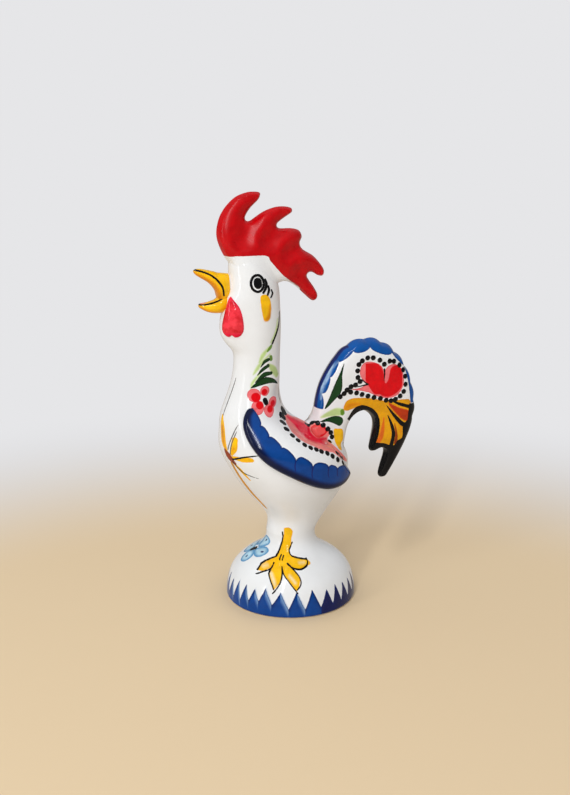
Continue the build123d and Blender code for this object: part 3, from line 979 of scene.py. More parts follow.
def make_pedestal():
    """A ring-shaped grid: up the hollow inside, over the waist, down the dome and under the foot ring."""
    turn = spans(*FOOT_TURNS)[:-1]
    dome = spans(DOME_HEIGHTS)[::-1]
    radius = oval_at(dome)[1] - FOOT_EASE * np.maximum(1 - dome, 0) ** 2
    under = even(np.array(FOOT_RING), RING_ROWS)
    profile = np.vstack([np.stack([radius, dome], axis=1), under, FOOT_INSIDE])[::-1]
    angle = np.radians(turn)[None, :]
    r, z = profile[:, :1], profile[:, 1:]
    grid = np.stack(np.broadcast_arrays(-r * np.cos(angle), -r * np.sin(angle), z), axis=-1)
    rows, columns = grid.shape[:2]
    outside = np.repeat(np.arange(rows) >= len(FOOT_INSIDE) + RING_ROWS, columns)
    marks = merge(foot_paint(foot_sheet(grid)), rim_paint(grid), base_flower_paint(grid))
    clay = np.where(outside & (grid[..., 2].reshape(-1) > CLAY_TOP), FAR, marks["clay"])
    marks = {key: np.where(outside, value, FAR) for key, value in marks.items()} | {"clay": clay}
    grid = raise_paint(grid, marks, True, {"yellow": 0.04, "black": 0.05})
    first, last = np.arange(columns), np.arange((rows - 1) * columns, rows * columns)
    closing = np.stack([last, np.roll(last, -1), np.roll(first, -1), first], axis=1)
    faces = [*grid_faces(rows, columns, True), *closing]
    material = painted_glaze("foot_glaze", marks)
    add_piece("domed_foot", grid.reshape(-1, 3), faces, "pedestal", material, marks, last)


make_pedestal()

# %% [markdown]
# ## Wings
#
# A wing is a cushion of clay pressed on the flank, with a rolled lower edge and a top that
# runs out into the back. A shell with Solidify would keep one thickness up to its edge, so the
# cushion is worked out instead. Its rim and its top edge are curves in the side view. One
# parameter runs along both, from the shoulder to the rump, and the other crosses from the rim to
# the top. The flank gives the depth, and the cushion is raised along the normals and sinks away
# at the top.

# %% Wing form
# X and Z in the side view, in mm
WING_RIM = [
    (-14.8, 70.6), (-15.8, 71.0), (-17.0, 70.6), (-18.0, 69.2), (-18.8, 67.0), (-18.9, 64.3),
    (-18.0, 61.0), (-16.3, 57.9), (-13.6, 54.7), (-10.0, 52.0), (-5.4, 49.3), (-0.7, 46.7),
    (3.8, 44.5), (7.9, 43.1), (11.7, 42.7), (14.6, 43.3), (16.6, 45.2), (17.4, 48.2),
]
WING_TOP = [
    (-13.6, 71.0), (-9.5, 70.4), (-6.0, 68.2), (-2.5, 65.2), (1.0, 62.4), (4.5, 60.4), (7.5, 59.0),
    (10.0, 57.6), (12.0, 56.0), (13.8, 54.0), (15.4, 51.6), (16.8, 49.4), (17.4, 48.6),
]
# How far the cushion stands out and its edge sinks in, and the width of the rolled rim
WING_RELIEF, WING_SINK, RIM_ROLL = 2.4, 0.25, 1.9
# The cushion fades over this width below the top edge, less from one share of its length to another
TOP_FADE, END_FADE, FADE_SHARES = 12.0, 5.0, (0.5, 0.95)
SHOULDER_SHARES = (-0.02, 0.05)
# Rows lie closer near the rim by this power
ROW_POWER = 1.35


def wing_grid(rows=110, columns=330):
    """Points of the left wing, rim row first, and their distance from the rim along the flank."""
    rim, top = even(curve(WING_RIM), columns), even(curve(WING_TOP), columns)
    across = (np.linspace(0, 1, rows) ** ROW_POWER)[:, None, None]
    chart = rim[None] * (1 - across) + top[None] * across
    half = skin_half_width(chart[..., 0], chart[..., 1])
    flank = np.stack([chart[..., 0], -half, chart[..., 1]], axis=-1)
    steps = np.linalg.norm(np.diff(flank, axis=0), axis=-1)
    from_rim = np.concatenate([np.zeros((1, columns)), np.cumsum(steps, axis=0)])
    from_top = from_rim[-1:] - from_rim
    along = np.linspace(0, 1, columns)[None]
    fade = TOP_FADE + (END_FADE - TOP_FADE) * smoothstep(*FADE_SHARES, along)
    cushion = smoothstep(0, 1, from_top / fade) * smoothstep(*SHOULDER_SHARES, along)
    relief = WING_RELIEF * rolled(from_rim / RIM_ROLL) * cushion - WING_SINK
    grid = flank + grid_normals(flank, False) * relief[..., None]
    return grid, from_rim


print("points along the rim", len(WING_RIM), "and the top", len(WING_TOP))

# %% Wing paint
# Cusp, crest, cusp, crest and so on along the inner edge of the blue, then round outside the wing
WING_BAND = [
    (-16.4, 71.4), (-14.1, 68.9), (-14.0, 66.2), (-12.5, 65.3), (-11.9, 63.0), (-10.0, 62.3),
    (-8.3, 59.7), (-6.0, 58.7), (-4.0, 55.5), (-1.5, 56.3), (1.7, 52.6), (4.1, 53.9), (7.6, 51.7),
    (9.2, 52.1), (11.2, 50.2), (12.7, 50.9), (15.4, 49.8), (17.0, 49.4), (18.5, 48.0),
]
BAND_FAR = np.array([
    (21.0, 46.0), (18.0, 40.0), (0.0, 40.0), (-26.0, 54.0), (-26.0, 74.0), (-17.4, 74.0),
])
BAND_CUTS = [
    [(-4.0, 55.5, 0.2), (-4.4, 53.6, 0.22), (-4.2, 51.8, 0.1)],
    [(1.7, 52.6, 0.22), (1.4, 50.4, 0.22), (1.7, 48.6, 0.1)],
    [(7.6, 51.7, 0.22), (7.4, 49.6, 0.22), (7.8, 48.0, 0.1)],
    [(11.2, 50.2, 0.22), (11.1, 48.6, 0.2), (11.5, 47.4, 0.1)],
    [(15.4, 49.8, 0.2), (15.2, 48.4, 0.2), (15.4, 47.4, 0.1)],
]
# Near the rim the blue is darker over this width: partly paint, partly painted shade under the roll
DARK_AND_SHADE_WIDTH = 3.0


def wing_paint(q, from_rim):
    """Cobalt scallops along the rim, darker near the edge: deeper paint and painted shade under the roll.
    """
    cobalt = patch(q, np.vstack([bows(WING_BAND), BAND_FAR]))
    return {
        "cobalt": cobalt,
        "deep": np.maximum(cobalt, from_rim - DARK_AND_SHADE_WIDTH),
        "navy": np.maximum(cobalt, strokes(q, BAND_CUTS)),
    }


def make_wings():
    """The left wing, and the right one as its mirror image; the blue lies over the red flower."""
    grid, from_rim = wing_grid()
    q = side_sheet(grid)
    band = wing_paint(q, from_rim.reshape(-1))
    flower = {name: np.maximum(mark, -band["cobalt"]) for name, mark in flower_paint(q).items()}
    marks = merge(band, flower, heart_paint(grid))
    grid = raise_paint(grid, marks, False, {"black": 0.3, "crimson": 0.05})
    faces = grid_faces(*grid.shape[:2], False)
    material = painted_glaze("wing_glaze", marks)
    points = grid.reshape(-1, 3)
    add_piece("left_wing_pad", points, faces, "left_wing", material, marks)
    points, faces = points * MIRROR, faces[:, ::-1]
    add_piece("right_wing_pad", points, faces, "right_wing", material, marks)


make_wings()

# %% [markdown]
# ## Fins: the comb and the tail
#
# The comb and the tail are flat in outline and plump in section, like cushions. An extruded
# outline with a Bevel would be round only at its edge. Here the swell comes from a membrane:
# pinned along the outline, pushed up evenly and held back by a soft bed, it rises within a few
# millimetres of the edge, less in a narrow lobe, and dips beside a notch, as soft clay does.
# Where a fin is thinner than the body it follows the body, with a smooth blend, so that it
# grows out of the head and the rump without a crease.

# %% Membrane
# The side of a cell in mm, and how often and how far past its balance each cell is moved
CELL = 0.3
SWEEPS, OVERSHOOT = 900, 1.85


def membrane(outline, bed):
    """Height 0 outside the outline, and inside it the bend is the height less 1, over bed squared."""
    low, high = outline.min(0) - 2 * CELL, outline.max(0) + 2 * CELL
    xs, zs = np.arange(low[0], high[0], CELL), np.arange(low[1], high[1], CELL)
    q = np.stack(np.meshgrid(xs, zs, indexing="ij"), axis=-1).reshape(-1, 2)
    inside = (patch(q, outline, EVERYWHERE) < 0).reshape(len(xs), len(zs))
    rise = np.zeros(inside.shape)
    pull = (CELL / bed) ** 2
    odd = np.indices(inside.shape).sum(0) % 2 == 1
    for sweep in range(SWEEPS):
        around = np.zeros_like(rise)
        around[1:-1, 1:-1] = rise[2:, 1:-1] + rise[:-2, 1:-1] + rise[1:-1, 2:] + rise[1:-1, :-2]
        now = inside & (odd == bool(sweep % 2))
        rise = np.where(now, rise + OVERSHOOT * ((around + pull) / (4 + pull) - rise), rise)
    return xs, zs, rise


def look_up(field, q):
    """A membrane's height at any place, from its four nearest cells."""
    xs, zs, rise = field
    u, v = (q[:, 0] - xs[0]) / CELL, (q[:, 1] - zs[0]) / CELL
    i = np.clip(u.astype(int), 0, len(xs) - 2)
    j = np.clip(v.astype(int), 0, len(zs) - 2)
    u, v = u - i, v - j
    low = rise[i, j] * (1 - u) + rise[i + 1, j] * u
    return low * (1 - v) + (rise[i, j + 1] * (1 - u) + rise[i + 1, j + 1] * u) * v


def smooth_max(a, b, blend):
    """The larger of two, rounded up where they are within blend of each other."""
    near = np.maximum(blend - np.abs(a - b), 0) / blend
    return np.maximum(a, b) + near**2 * blend / 4


print("halfway between two equal heights the blend adds", smooth_max(1.0, 1.0, 2.0) - 1.0, "mm")

# %% Fin mesh
# The rings lie this far inside the outline, and a ring's point is kept unless another edge is nearer
RIM_STEPS = (0.06, 0.22, 0.5, 0.9)
RING_CLEAR = 0.9
# Rows of a grid of even triangles are this share of its spacing apart
ROW_SHARE = 0.866
# Places this near are one, and smaller triangles are dropped
SAME_PLACE, LEAST_AREA = 1e-5, 1e-7
# The triangulation's way of keeping only what lies inside the outline
KEEP_INSIDE = 1


def fin_points(outline, spacing):
    """A few rings close inside the outline, and an even grid of places inside those."""
    inward = -outward(outline)
    rings = []
    for step in RIM_STEPS:
        ring_points = outline + step * inward
        kept = patch(ring_points, outline, EVERYWHERE) < -RING_CLEAR * step
        rings.append(ring_points[kept])
    low, high = outline.min(0), outline.max(0)
    xs, zs = np.arange(low[0], high[0], spacing), np.arange(low[1], high[1], spacing * ROW_SHARE)
    q = np.stack(np.meshgrid(xs, zs, indexing="ij"), axis=-1)
    q[:, 1::2, 0] += spacing / 2
    q = q.reshape(-1, 2)
    q = q[patch(q, outline, EVERYWHERE) < -RIM_STEPS[-1] - 0.5 * spacing]
    return np.vstack([*rings, q])


def fin_faces(outline, inner):
    """Triangles between the outline and the places inside it."""
    places = np.vstack([outline, inner])
    count = len(outline)
    border = [list(range(count))]
    made = delaunay_2d_cdt([Vector(p) for p in places], [], border, KEEP_INSIDE, SAME_PLACE)
    corners = np.array([v[:] for v in made[0]])
    faces = np.array([f for f in made[2] if len(f) == 3])
    a, b, c = corners[faces[:, 0]], corners[faces[:, 1]], corners[faces[:, 2]]
    area = (b[:, 0] - a[:, 0]) * (c[:, 1] - a[:, 1]) - (b[:, 1] - a[:, 1]) * (c[:, 0] - a[:, 0])
    faces[area < 0] = faces[area < 0][:, ::-1]
    return corners, faces[np.abs(area) > LEAST_AREA]


print("rings inside an outline", len(RIM_STEPS))

# %% Fin form
# The least swell near the edge, and how far a fin lies under the skin of a body thicker than this
EDGE_SWELL, SKIN_GAP, SKIN_START = 0.12, 0.25, 0.4
# A place less deep than this lies on the rim
ON_RIM = 1e-3


def make_fin(outline, spacing, bed, thickness, blend):
    """Places of a fin in the side view, with a half thickness from the membrane and the body."""
    field = membrane(outline, bed)
    places, faces = fin_faces(outline, fin_points(outline, spacing))
    depth = -patch(places, outline, EVERYWHERE)
    rim = depth < ON_RIM
    centre = look_up(field, places)
    shallow = np.clip(depth / RIM_STEPS[-1], 0, 1)
    swell = np.where(depth < RIM_STEPS[-1], shallow * np.maximum(centre, EDGE_SWELL * shallow), centre)
    half = thickness(places) * np.sqrt(np.clip(swell * (2 - swell), 0, 1))
    body = skin_half_width(places[:, 0], places[:, 1]) - SKIN_GAP
    half = np.where(rim, 0, np.where(body > SKIN_START, smooth_max(half, body, blend), half))
    return places, faces, half, rim


def both_sides(places, faces, half, rim):
    """The left side, then the right side on the same rim, as one closed skin.

    The last value gives the place that each point of the skin comes from.
    """
    left = np.stack([places[:, 0], -half, places[:, 1]], axis=1)
    right = left[~rim] * MIRROR
    number = np.arange(len(left))
    source = np.r_[number, np.flatnonzero(~rim)]
    number[~rim] = len(left) + np.arange(len(right))
    return np.vstack([left, right]), np.vstack([faces, number[faces][:, ::-1]]), source


print("a fin lies", SKIN_GAP, "mm under the body's skin")

# %% [markdown]
# ## Comb
#
# The comb is a solid fin with swept lobes, pressed on the crown and dipped in red down to a
# line on the nape. Its thickness falls towards the tips, and a hollow runs down from each notch,
# where a thumb pressed the clay. The hollows are part of the mesh, because a bump in the
# material would leave the highlights straight.

# %% Comb
# X and Z in the side view, in mm
COMB = [
    (-22.0, 119.5), (-24.5, 125.5), (-24.2, 130.5), (-22.2, 134.8), (-18.6, 138.4), (-14.8, 139.9),
    (-12.0, 140.1), (-10.4, 139.8), (-10.1, 139.0), (-10.9, 137.4), (-13.4, 135.0), (-15.0, 132.6),
    (-15.1, 131.3), (-14.4, 130.8), (-13.4, 131.0), (-11.9, 132.0), (-8.9, 133.8), (-5.2, 135.0),
    (-2.0, 135.1), (0.2, 134.5), (0.5, 133.4), (-0.4, 132.6), (-2.8, 131.1), (-4.5, 129.7),
    (-4.5, 128.6), (-3.4, 128.1), (0.2, 128.0), (2.8, 127.2), (3.8, 125.2), (3.1, 123.2), (4.0, 121.1),
    (7.7, 118.7), (10.5, 115.5), (11.5, 113.5), (11.0, 112.0), (9.3, 112.2), (7.4, 113.3),
    (6.0, 113.1), (5.7, 111.7), (7.9, 108.4), (9.2, 105.9), (8.9, 104.3), (7.3, 103.9), (4.6, 106.2),
    (1.4, 109.2), (-2.0, 110.8), (-6.0, 110.0), (-11.0, 111.0), (-18.0, 115.0),
]
COMB_LINE = [
    (-30.0, 119.6), (-21.9, 120.0), (-17.4, 120.3), (-9.6, 120.1), (-8.1, 118.4), (-5.7, 115.6),
    (-3.3, 113.1), (1.1, 109.8), (2.9, 108.3), (3.6, 106.0), (4.5, 100.0),
]
# A hollow runs down from each notch, from one X, Z place to the other
COMB_HOLLOWS = np.array([
    [(-14.6, 132.0), (-16.6, 126.2)], [(-4.0, 129.4), (-8.0, 125.2)],
    [(3.6, 123.2), (-0.4, 121.0)], [(6.4, 112.6), (2.6, 114.2)],
])
HOLLOW_DEPTH, HOLLOW_REACH = 1.7, 5.4
# Half thickness at the crown, what it loses towards the tips and the nape, and between which places
CROWN_HALF, TIP_LOSS, NAPE_LOSS = 5.1, 1.2, 0.9
TIP_HEIGHTS, NAPE_PLACES = (122, 136), (-2, 10)
BELOW_COMB = [(9.0, 90.0), (-30.0, 90.0)]
COMB_ROUGHNESS, COMB_STEPS = (0.24, 0.34), 519


def comb_thickness(places):
    """Half thickness, largest at the crown, less towards the tips and in the hollows."""
    tips, nape = smoothstep(*TIP_HEIGHTS, places[:, 1]), smoothstep(*NAPE_PLACES, places[:, 0])
    half = CROWN_HALF - TIP_LOSS * tips - NAPE_LOSS * nape
    for start, stop in COMB_HOLLOWS:
        run = stop - start
        share = np.clip((places - start) @ run / (run @ run), 0, 1)
        away = np.linalg.norm(places - start - share[:, None] * run, axis=1)
        half = half - HOLLOW_DEPTH * smoothstep(HOLLOW_REACH, 0, away)
    return half


def comb_paint(q):
    """Red above the line where the dipped colour ends."""
    return {"comb_red": -patch(q, np.vstack([curve(COMB_LINE), BELOW_COMB]), EVERYWHERE)}


def make_comb():
    """The comb as a fin that grows out of the crown."""
    outline = loop(COMB, COMB_STEPS)
    places, faces, half, rim = make_fin(outline, spacing=0.42, bed=4.4, thickness=comb_thickness, blend=2.4)
    points, faces, source = both_sides(places, faces, half, rim)
    marks = {key: value[source] for key, value in comb_paint(places).items()}
    material = painted_glaze("comb_glaze", marks, roughness=COMB_ROUGHNESS)
    add_piece("lobed_comb", points, faces, "comb", material, marks)


make_comb()

# %% [markdown]
# ## Tail
#
# The tail is a fan on a stem, with a long sickle feather that hangs behind an open arch. It is
# made as the comb is, because it is the same kind of clay fin. Its outer edge swells a little at
# each painted scallop. The band of blue follows that edge, a heart with dots fills the fan, and
# yellow and orange feathers with black edges hang below.

# %% Tail form
# X and Z in the side view, in mm
TAIL = [
    (4.0, 59.5), (6.8, 62.9), (8.1, 66.0), (8.7, 70.0), (10.2, 75.3), (13.2, 80.9), (17.0, 85.7),
    (21.5, 88.8), (26.5, 89.8), (30.8, 88.9), (35.4, 86.1), (39.6, 81.4), (42.5, 75.5), (44.0, 69.5),
    (44.3, 64.5), (43.4, 58.5), (41.2, 52.5), (38.4, 46.3), (35.8, 41.5), (34.4, 39.7), (32.8, 39.5),
    (31.8, 40.9), (32.4, 44.0), (33.6, 47.9), (33.6, 49.9), (32.2, 50.5), (30.6, 49.5), (29.0, 49.5),
    (28.2, 51.0), (29.0, 54.5), (29.7, 58.7), (28.6, 62.5), (25.6, 64.6), (22.3, 63.5), (20.0, 60.5),
    (19.1, 56.5), (17.6, 51.0), (10.0, 50.5),
]
# Waves run from one of these points to the other, and rise and fade between shares of that way
WAVE_FIRST, WAVE_LAST = 3, 15
EDGE_WAVES, EDGE_WAVE, TAIL_STEPS = 11, 0.65, 899
WAVE_RISE, WAVE_FADE = (0.18, 0.34), (1, 0.94)
# Half thickness of the fan, what the stem gains and the sickle loses, and between which places
FAN_HALF, STEM_GAIN, SICKLE_LOSS = 4.9, 1.2, 0.8
STEM_HEIGHTS, STEM_PLACES, SICKLE_HEIGHTS = (72, 56), (24, 16), (56, 44)


def tail_outline():
    """The tail's outline, with small waves along its outer edge."""
    path = loop(TAIL, TAIL_STEPS)
    first, last = [np.argmin(np.linalg.norm(path - TAIL[i], axis=1)) for i in (WAVE_FIRST, WAVE_LAST)]
    share = np.clip((np.arange(len(path)) - first) / (last - first), 0, 1)
    wave = EDGE_WAVE * (np.abs(np.cos(share * np.pi * EDGE_WAVES)) - 0.5)
    wave = wave * smoothstep(*WAVE_RISE, share) * smoothstep(*WAVE_FADE, share)
    return path + outward(path) * wave[:, None]


def tail_thickness(places):
    """Half thickness: the stem is thickest, the fan a little less, the sickle thin."""
    stem = STEM_GAIN * smoothstep(*STEM_HEIGHTS, places[:, 1]) * smoothstep(*STEM_PLACES, places[:, 0])
    return FAN_HALF + stem - SICKLE_LOSS * smoothstep(*SICKLE_HEIGHTS, places[:, 1])


print("the tail reaches up to", round(tail_outline()[:, 1].max(), 1), "mm")

# %% Tail band
# Cusp, crest, cusp, crest and so on along the inner edge of the blue band, then round outside
TAIL_BAND = [
    (10.1, 67.2), (10.5, 69.6), (9.9, 72.4), (11.6, 73.6), (12.7, 77.9), (14.2, 79.2), (15.8, 83.0),
    (18.0, 83.9), (20.8, 86.5), (23.9, 86.0), (26.7, 87.8), (31.0, 84.9), (34.8, 85.1), (36.9, 82.2),
    (39.3, 80.4), (40.0, 77.6), (40.5, 75.4), (41.2, 71.5), (41.6, 67.0),
]
BAND_OUTSIDE = np.array([(50.0, 66.6), (50.0, 94.0), (4.0, 94.0), (4.0, 67.0)])
# Painted shade: a dark line along the front edge, up from one place and before a line leaning back from it
BAND_SHADE_LINE = 0.42
LINE_FOOT, LINE_LEAN = (11, 66), 0.42
# A pale streak along the band where the rounded front edge catches a highlight: a painted highlight
BAND_PAINTED_HIGHLIGHT = [
    (9.7, 70.2, 0.1), (10.4, 74.2, 0.3), (11.9, 77.2, 0.32), (13.6, 80.6, 0.28), (15.9, 83.2, 0.1),
]


def band_paint(q):
    """Blue band on the fan's edge, with a painted highlight and a dark front line of painted shade."""
    edge = tail_outline()[::3]
    x, z = (edge - LINE_FOOT).T
    edge = edge[(z > 0) & (x < z * LINE_LEAN)]
    band = patch(q, np.vstack([bows(TAIL_BAND), BAND_OUTSIDE]), EVERYWHERE)
    return {
        "azure": band,
        "shine": np.maximum(band, stroke(q, BAND_PAINTED_HIGHLIGHT)),
        "navy": np.maximum(band, strokes(q, lines([edge], BAND_SHADE_LINE))),
    }


print("scallops of the band", len(TAIL_BAND) // 2)

# %% Tail heart
# X and Z in the side view, and for a stroke the half width there, in mm
TAIL_HEART = joined(
    [
        (31.7, 79.0), (31.0, 80.4), (29.4, 81.8), (26.2, 82.8), (23.8, 81.9), (22.9, 79.2),
        (23.8, 76.8), (25.9, 74.9),
    ],
    [
        (25.9, 74.9), (26.0, 72.5), (27.8, 71.2), (30.7, 69.9), (34.3, 69.5), (37.2, 70.8),
        (38.8, 73.8), (38.8, 77.3), (37.9, 79.7), (35.6, 81.2), (33.2, 80.8), (31.7, 79.0),
    ],
)
RED_INSET = 0.1
HEART_RED = [
    [(27.3, 79.8, 3.3), (28.2, 77.4, 3.4), (29.6, 73.6, 2.6)],
    [(35.9, 78.6, 2.2), (35.8, 74.8, 2.9), (33.2, 72.3, 2.4), (30.4, 73.4, 2.0)],
]
HEART_TAIL = [(19.8, 73.5), (22.8, 73.8), (25.8, 74.6), (27.0, 72.0), (23.5, 72.8)]
HEART_FOLDS = [
    [(31.7, 79.8, 0.3), (31.8, 78.0, 0.26), (31.6, 75.6, 0.1)],
    [(22.2, 74.3, 0.2), (24.2, 74.6, 0.24), (25.9, 74.9, 0.3)],
    [(25.9, 74.9, 0.28), (24.6, 75.8, 0.24), (23.8, 76.8, 0.15)],
]
TAIL_DOT, DOT_HEIGHT = 0.9, 0.3
TAIL_DOTS = [
    (25.6, 84.1), (27.6, 84.0), (30.0, 83.0), (31.6, 81.5), (33.6, 82.4), (35.2, 82.2), (37.3, 80.7),
    (38.8, 78.9), (39.5, 76.6), (39.6, 73.8), (38.9, 71.4), (37.6, 69.9), (35.9, 68.9), (34.3, 68.5),
    (32.5, 68.8), (30.4, 69.6), (28.1, 70.1), (25.9, 70.8), (23.8, 71.5), (21.8, 72.2), (19.7, 72.6),
    (16.0, 71.3), (17.4, 72.3), (18.4, 73.5), (19.8, 74.5), (21.4, 75.0), (23.0, 76.1), (22.2, 77.6),
    (22.1, 79.9), (22.5, 82.0), (23.7, 83.2),
]


def tail_dots(q):
    """The dots round the heart, on the side sheet."""
    return strokes(q, lines([[place] for place in TAIL_DOTS], TAIL_DOT))


def tail_heart_paint(q):
    """A pink heart with two red strokes, its trailing point and folds, and the dots round it."""
    heart = patch(q, TAIL_HEART)
    return {
        "pink": nearest(heart, patches(q, HEART_TAIL)),
        "red": np.maximum(heart + RED_INSET, strokes(q, HEART_RED)),
        "black": nearest(tail_dots(q), strokes(q, HEART_FOLDS)),
    }


print("tail dots", len(TAIL_DOTS))

# %% Tail feathers
# X and Z in the side view, and for a stroke the half width there, in mm
FEATHERS = [
    (17.2, 67.2), (18.4, 69.6), (21.1, 70.4), (26.4, 70.0), (31.5, 68.8), (34.5, 68.5), (36.1, 68.5),
    (39.5, 68.6), (41.6, 67.7), (41.8, 63.0), (40.6, 58.0), (39.8, 54.0), (36.5, 51.4), (33.0, 51.8),
    (29.4, 52.0), (30.0, 56.5), (30.0, 61.0), (29.0, 64.0), (27.6, 65.6), (25.2, 66.6), (22.5, 67.2),
    (20.5, 66.6), (18.3, 66.2),
]
FEATHER_SHADE = [
    [(17.8, 67.0, 0.6), (19.6, 68.0, 0.9), (23.0, 68.2, 0.5)],
    [(33.4, 66.6, 0.3), (37.6, 60.6, 0.5), (38.4, 56.6, 0.4)],
]
FEATHER_ORANGE = [(32.0, 62.6, 0.2), (31.8, 58.4, 0.6), (31.2, 55.2, 0.75), (30.3, 53.1, 0.6)]
FEATHER_BROWN = [(35.9, 60.2, 0.15), (36.7, 56.0, 0.5), (36.5, 53.0, 0.6)]
FEATHER_RUST = [(33.4, 67.7), (37.3, 65.8), (41.2, 64.2), (41.3, 61.2), (39.3, 61.0), (36.2, 63.8)]
BLACK_EDGE = [
    (18.6, 63.2), (20.9, 66.5), (23.0, 67.6), (25.2, 67.4), (28.1, 65.9), (30.0, 63.5), (30.8, 60.9),
    (30.8, 58.0), (30.4, 55.1), (29.9, 53.3),
]
BLACK_TIPS = [
    (29.9, 53.3), (32.5, 53.1), (34.3, 52.4), (36.1, 52.2), (37.1, 53.7), (39.0, 55.0), (39.0, 59.2),
    (40.6, 61.0), (40.9, 63.8), (41.2, 66.8),
]
BLACK_FAR = np.array([
    (47.0, 66.8), (47.0, 36.0), (26.0, 36.0), (26.0, 60.0), (23.5, 62.0), (20.5, 61.5),
])
FEATHER_EDGES = [
    [(33.3, 63.4, 0.1), (34.7, 60.1, 0.5), (35.6, 56.5, 0.65), (35.1, 52.6, 0.7)],
    [(32.7, 67.0, 0.1), (35.6, 63.2, 0.55), (38.6, 59.9, 0.75), (40.4, 59.2, 0.9)],
    [(34.3, 68.7, 0.1), (37.2, 67.2, 0.5), (41.6, 65.6, 0.65)],
]


def feather_paint(q):
    """Yellow feathers with darker strokes and black edges, and black below them and round the arch."""
    feathers = patches(q, FEATHERS)
    black = patch(q, np.vstack([joined(BLACK_EDGE, BLACK_TIPS), BLACK_FAR]), EVERYWHERE)
    return {
        "amber": feathers,
        "honey": np.maximum(feathers, strokes(q, FEATHER_SHADE)),
        "orange": stroke(q, FEATHER_ORANGE),
        "rust": patches(q, FEATHER_RUST),
        "brown": stroke(q, FEATHER_BROWN),
        "black": nearest(black, strokes(q, FEATHER_EDGES)),
    }


print("feather edges", len(FEATHER_EDGES))

# %% Tail
# X and Z in the side view, and for a stroke the half width there, in mm
LEAF_TALL = [
    (10.7, 67.2), (12.4, 71.3), (14.0, 75.3), (15.9, 79.3), (17.6, 82.8), (16.8, 78.9), (16.8, 75.2),
    (16.2, 72.5), (14.3, 70.4),
]
LEAF_LOW = [
    (8.9, 62.9), (11.6, 64.3), (14.4, 64.8), (16.5, 64.1), (17.0, 62.5), (15.7, 61.2), (14.0, 62.1),
    (11.6, 63.0),
]
LEAF_PALE = [
    (9.2, 64.2), (10.7, 65.8), (14.1, 67.4), (16.5, 67.2), (17.4, 65.9), (16.8, 64.9), (12.3, 64.6),
]
LEAF_DROP = [(16.8, 66.3, 0.75), (16.8, 65.5, 0.75)]
TICK = [(17.5, 54.9, 0.14), (17.4, 53.0, 0.14)]


def stem_paint(q):
    """Leaves, a yellow patch and a thin black tick on the stem."""
    return {
        "pale_green": patches(q, LEAF_PALE),
        "fresh": stroke(q, LEAF_DROP),
        "leaf": patches(q, LEAF_TALL, LEAF_LOW),
        "yellow": patches(q, YELLOW_PATCH),
        "black": stroke(q, TICK),
    }


def make_tail():
    """The tail as a fin that grows out of the rump."""
    outline = tail_outline()
    places, faces, half, rim = make_fin(outline, spacing=0.26, bed=3.4, thickness=tail_thickness, blend=3.0)
    left = np.stack([places[:, 0], -half, places[:, 1]], axis=1)
    painters = (band_paint, tail_heart_paint, feather_paint, stem_paint)
    marks = merge(*[paint(places) for paint in painters], heart_paint(left))
    raised = nearest(tail_dots(places), beads(left, HEART_DOTS))
    half = np.where(rim, 0, half + DOT_HEIGHT * rolled(-raised / PAINT_ROLL))
    points, faces, source = both_sides(places, faces, half, rim)
    marks = {key: value[source] for key, value in marks.items()}
    material = painted_glaze("tail_glaze", marks)
    add_piece("arched_tail", points, faces, "tail", material, marks)


make_tail()

# %% [markdown]
# ## Beak and wattles
#
# The beak is two horns with an open mouth between them. Each could be a bent cone, but its
# section changes from the face to the tip, so it is a row of ovals along X with its own edges.
# The wattles swell out of the throat: the throat's own surface is pushed forwards, most in the
# middle of its height, and the red lies on it as a raised drop, so no edge shows round it.

# %% Beak
# X, lower edge, upper edge and half width, in mm
UPPER_BEAK = [
    (-18.0, 105.4, 113.6, 1.2), (-21.2, 104.8, 114.2, 2.5), (-22.6, 104.7, 114.4, 3.3),
    (-24.2, 105.2, 114.6, 3.4), (-25.0, 106.9, 114.8, 3.1), (-25.5, 108.7, 115.0, 2.9),
    (-26.6, 110.4, 115.3, 2.5), (-28.2, 111.9, 115.7, 2.1), (-30.4, 113.3, 116.1, 1.5),
    (-32.5, 114.7, 116.1, 0.75),
]
LOWER_BEAK = [
    (-18.0, 102.4, 107.2, 1.2), (-21.2, 101.7, 108.0, 2.5), (-23.6, 101.4, 107.6, 3.2),
    (-25.2, 101.4, 106.2, 2.9), (-26.8, 101.6, 105.5, 2.5), (-28.4, 102.1, 105.1, 2.0),
    (-29.9, 102.9, 104.9, 1.4), (-31.0, 103.6, 104.7, 0.75),
]
UPPER_LINE = [
    (-32.2, 115.9, 0.3), (-31.2, 115.7, 0.3), (-29.1, 115.1, 0.3), (-26.8, 114.0, 0.32),
    (-24.9, 112.3, 0.34), (-23.6, 110.2, 0.34), (-23.1, 107.6, 0.3),
]
LOWER_LINE = [
    (-31.0, 104.6, 0.3), (-29.6, 104.5, 0.2), (-27.6, 104.8, 0.24), (-25.3, 105.5, 0.22),
    (-23.5, 106.5, 0.2),
]
# Deeper yellow in the mouth and under the jaw, where shade falls: painted shade
UPPER_PAINTED_SHADE = [
    (-32.2, 114.9, 0.5), (-29.4, 113.0, 0.9), (-26.6, 110.8, 1.2), (-25.0, 108.2, 1.1),
    (-24.2, 105.6, 0.9),
]
LOWER_PAINTED_SHADE = [(-31.0, 103.7, 0.6), (-28.6, 102.3, 0.8), (-26.0, 101.5, 0.7), (-23.6, 101.6, 0.4)]
BLUSH = [(-30.2, 105.0, 0.3), (-28.6, 105.4, 0.35), (-27.4, 105.6, 0.15)]
# The X at which the yellow starts, and the share of the length at which the tip rounds off
BEAK_ROOT, TIP_START = -20.9, 0.93
# The count of ovals, and the step of the turns in degrees
HORN_ROWS, HORN_TURN = 110, 3


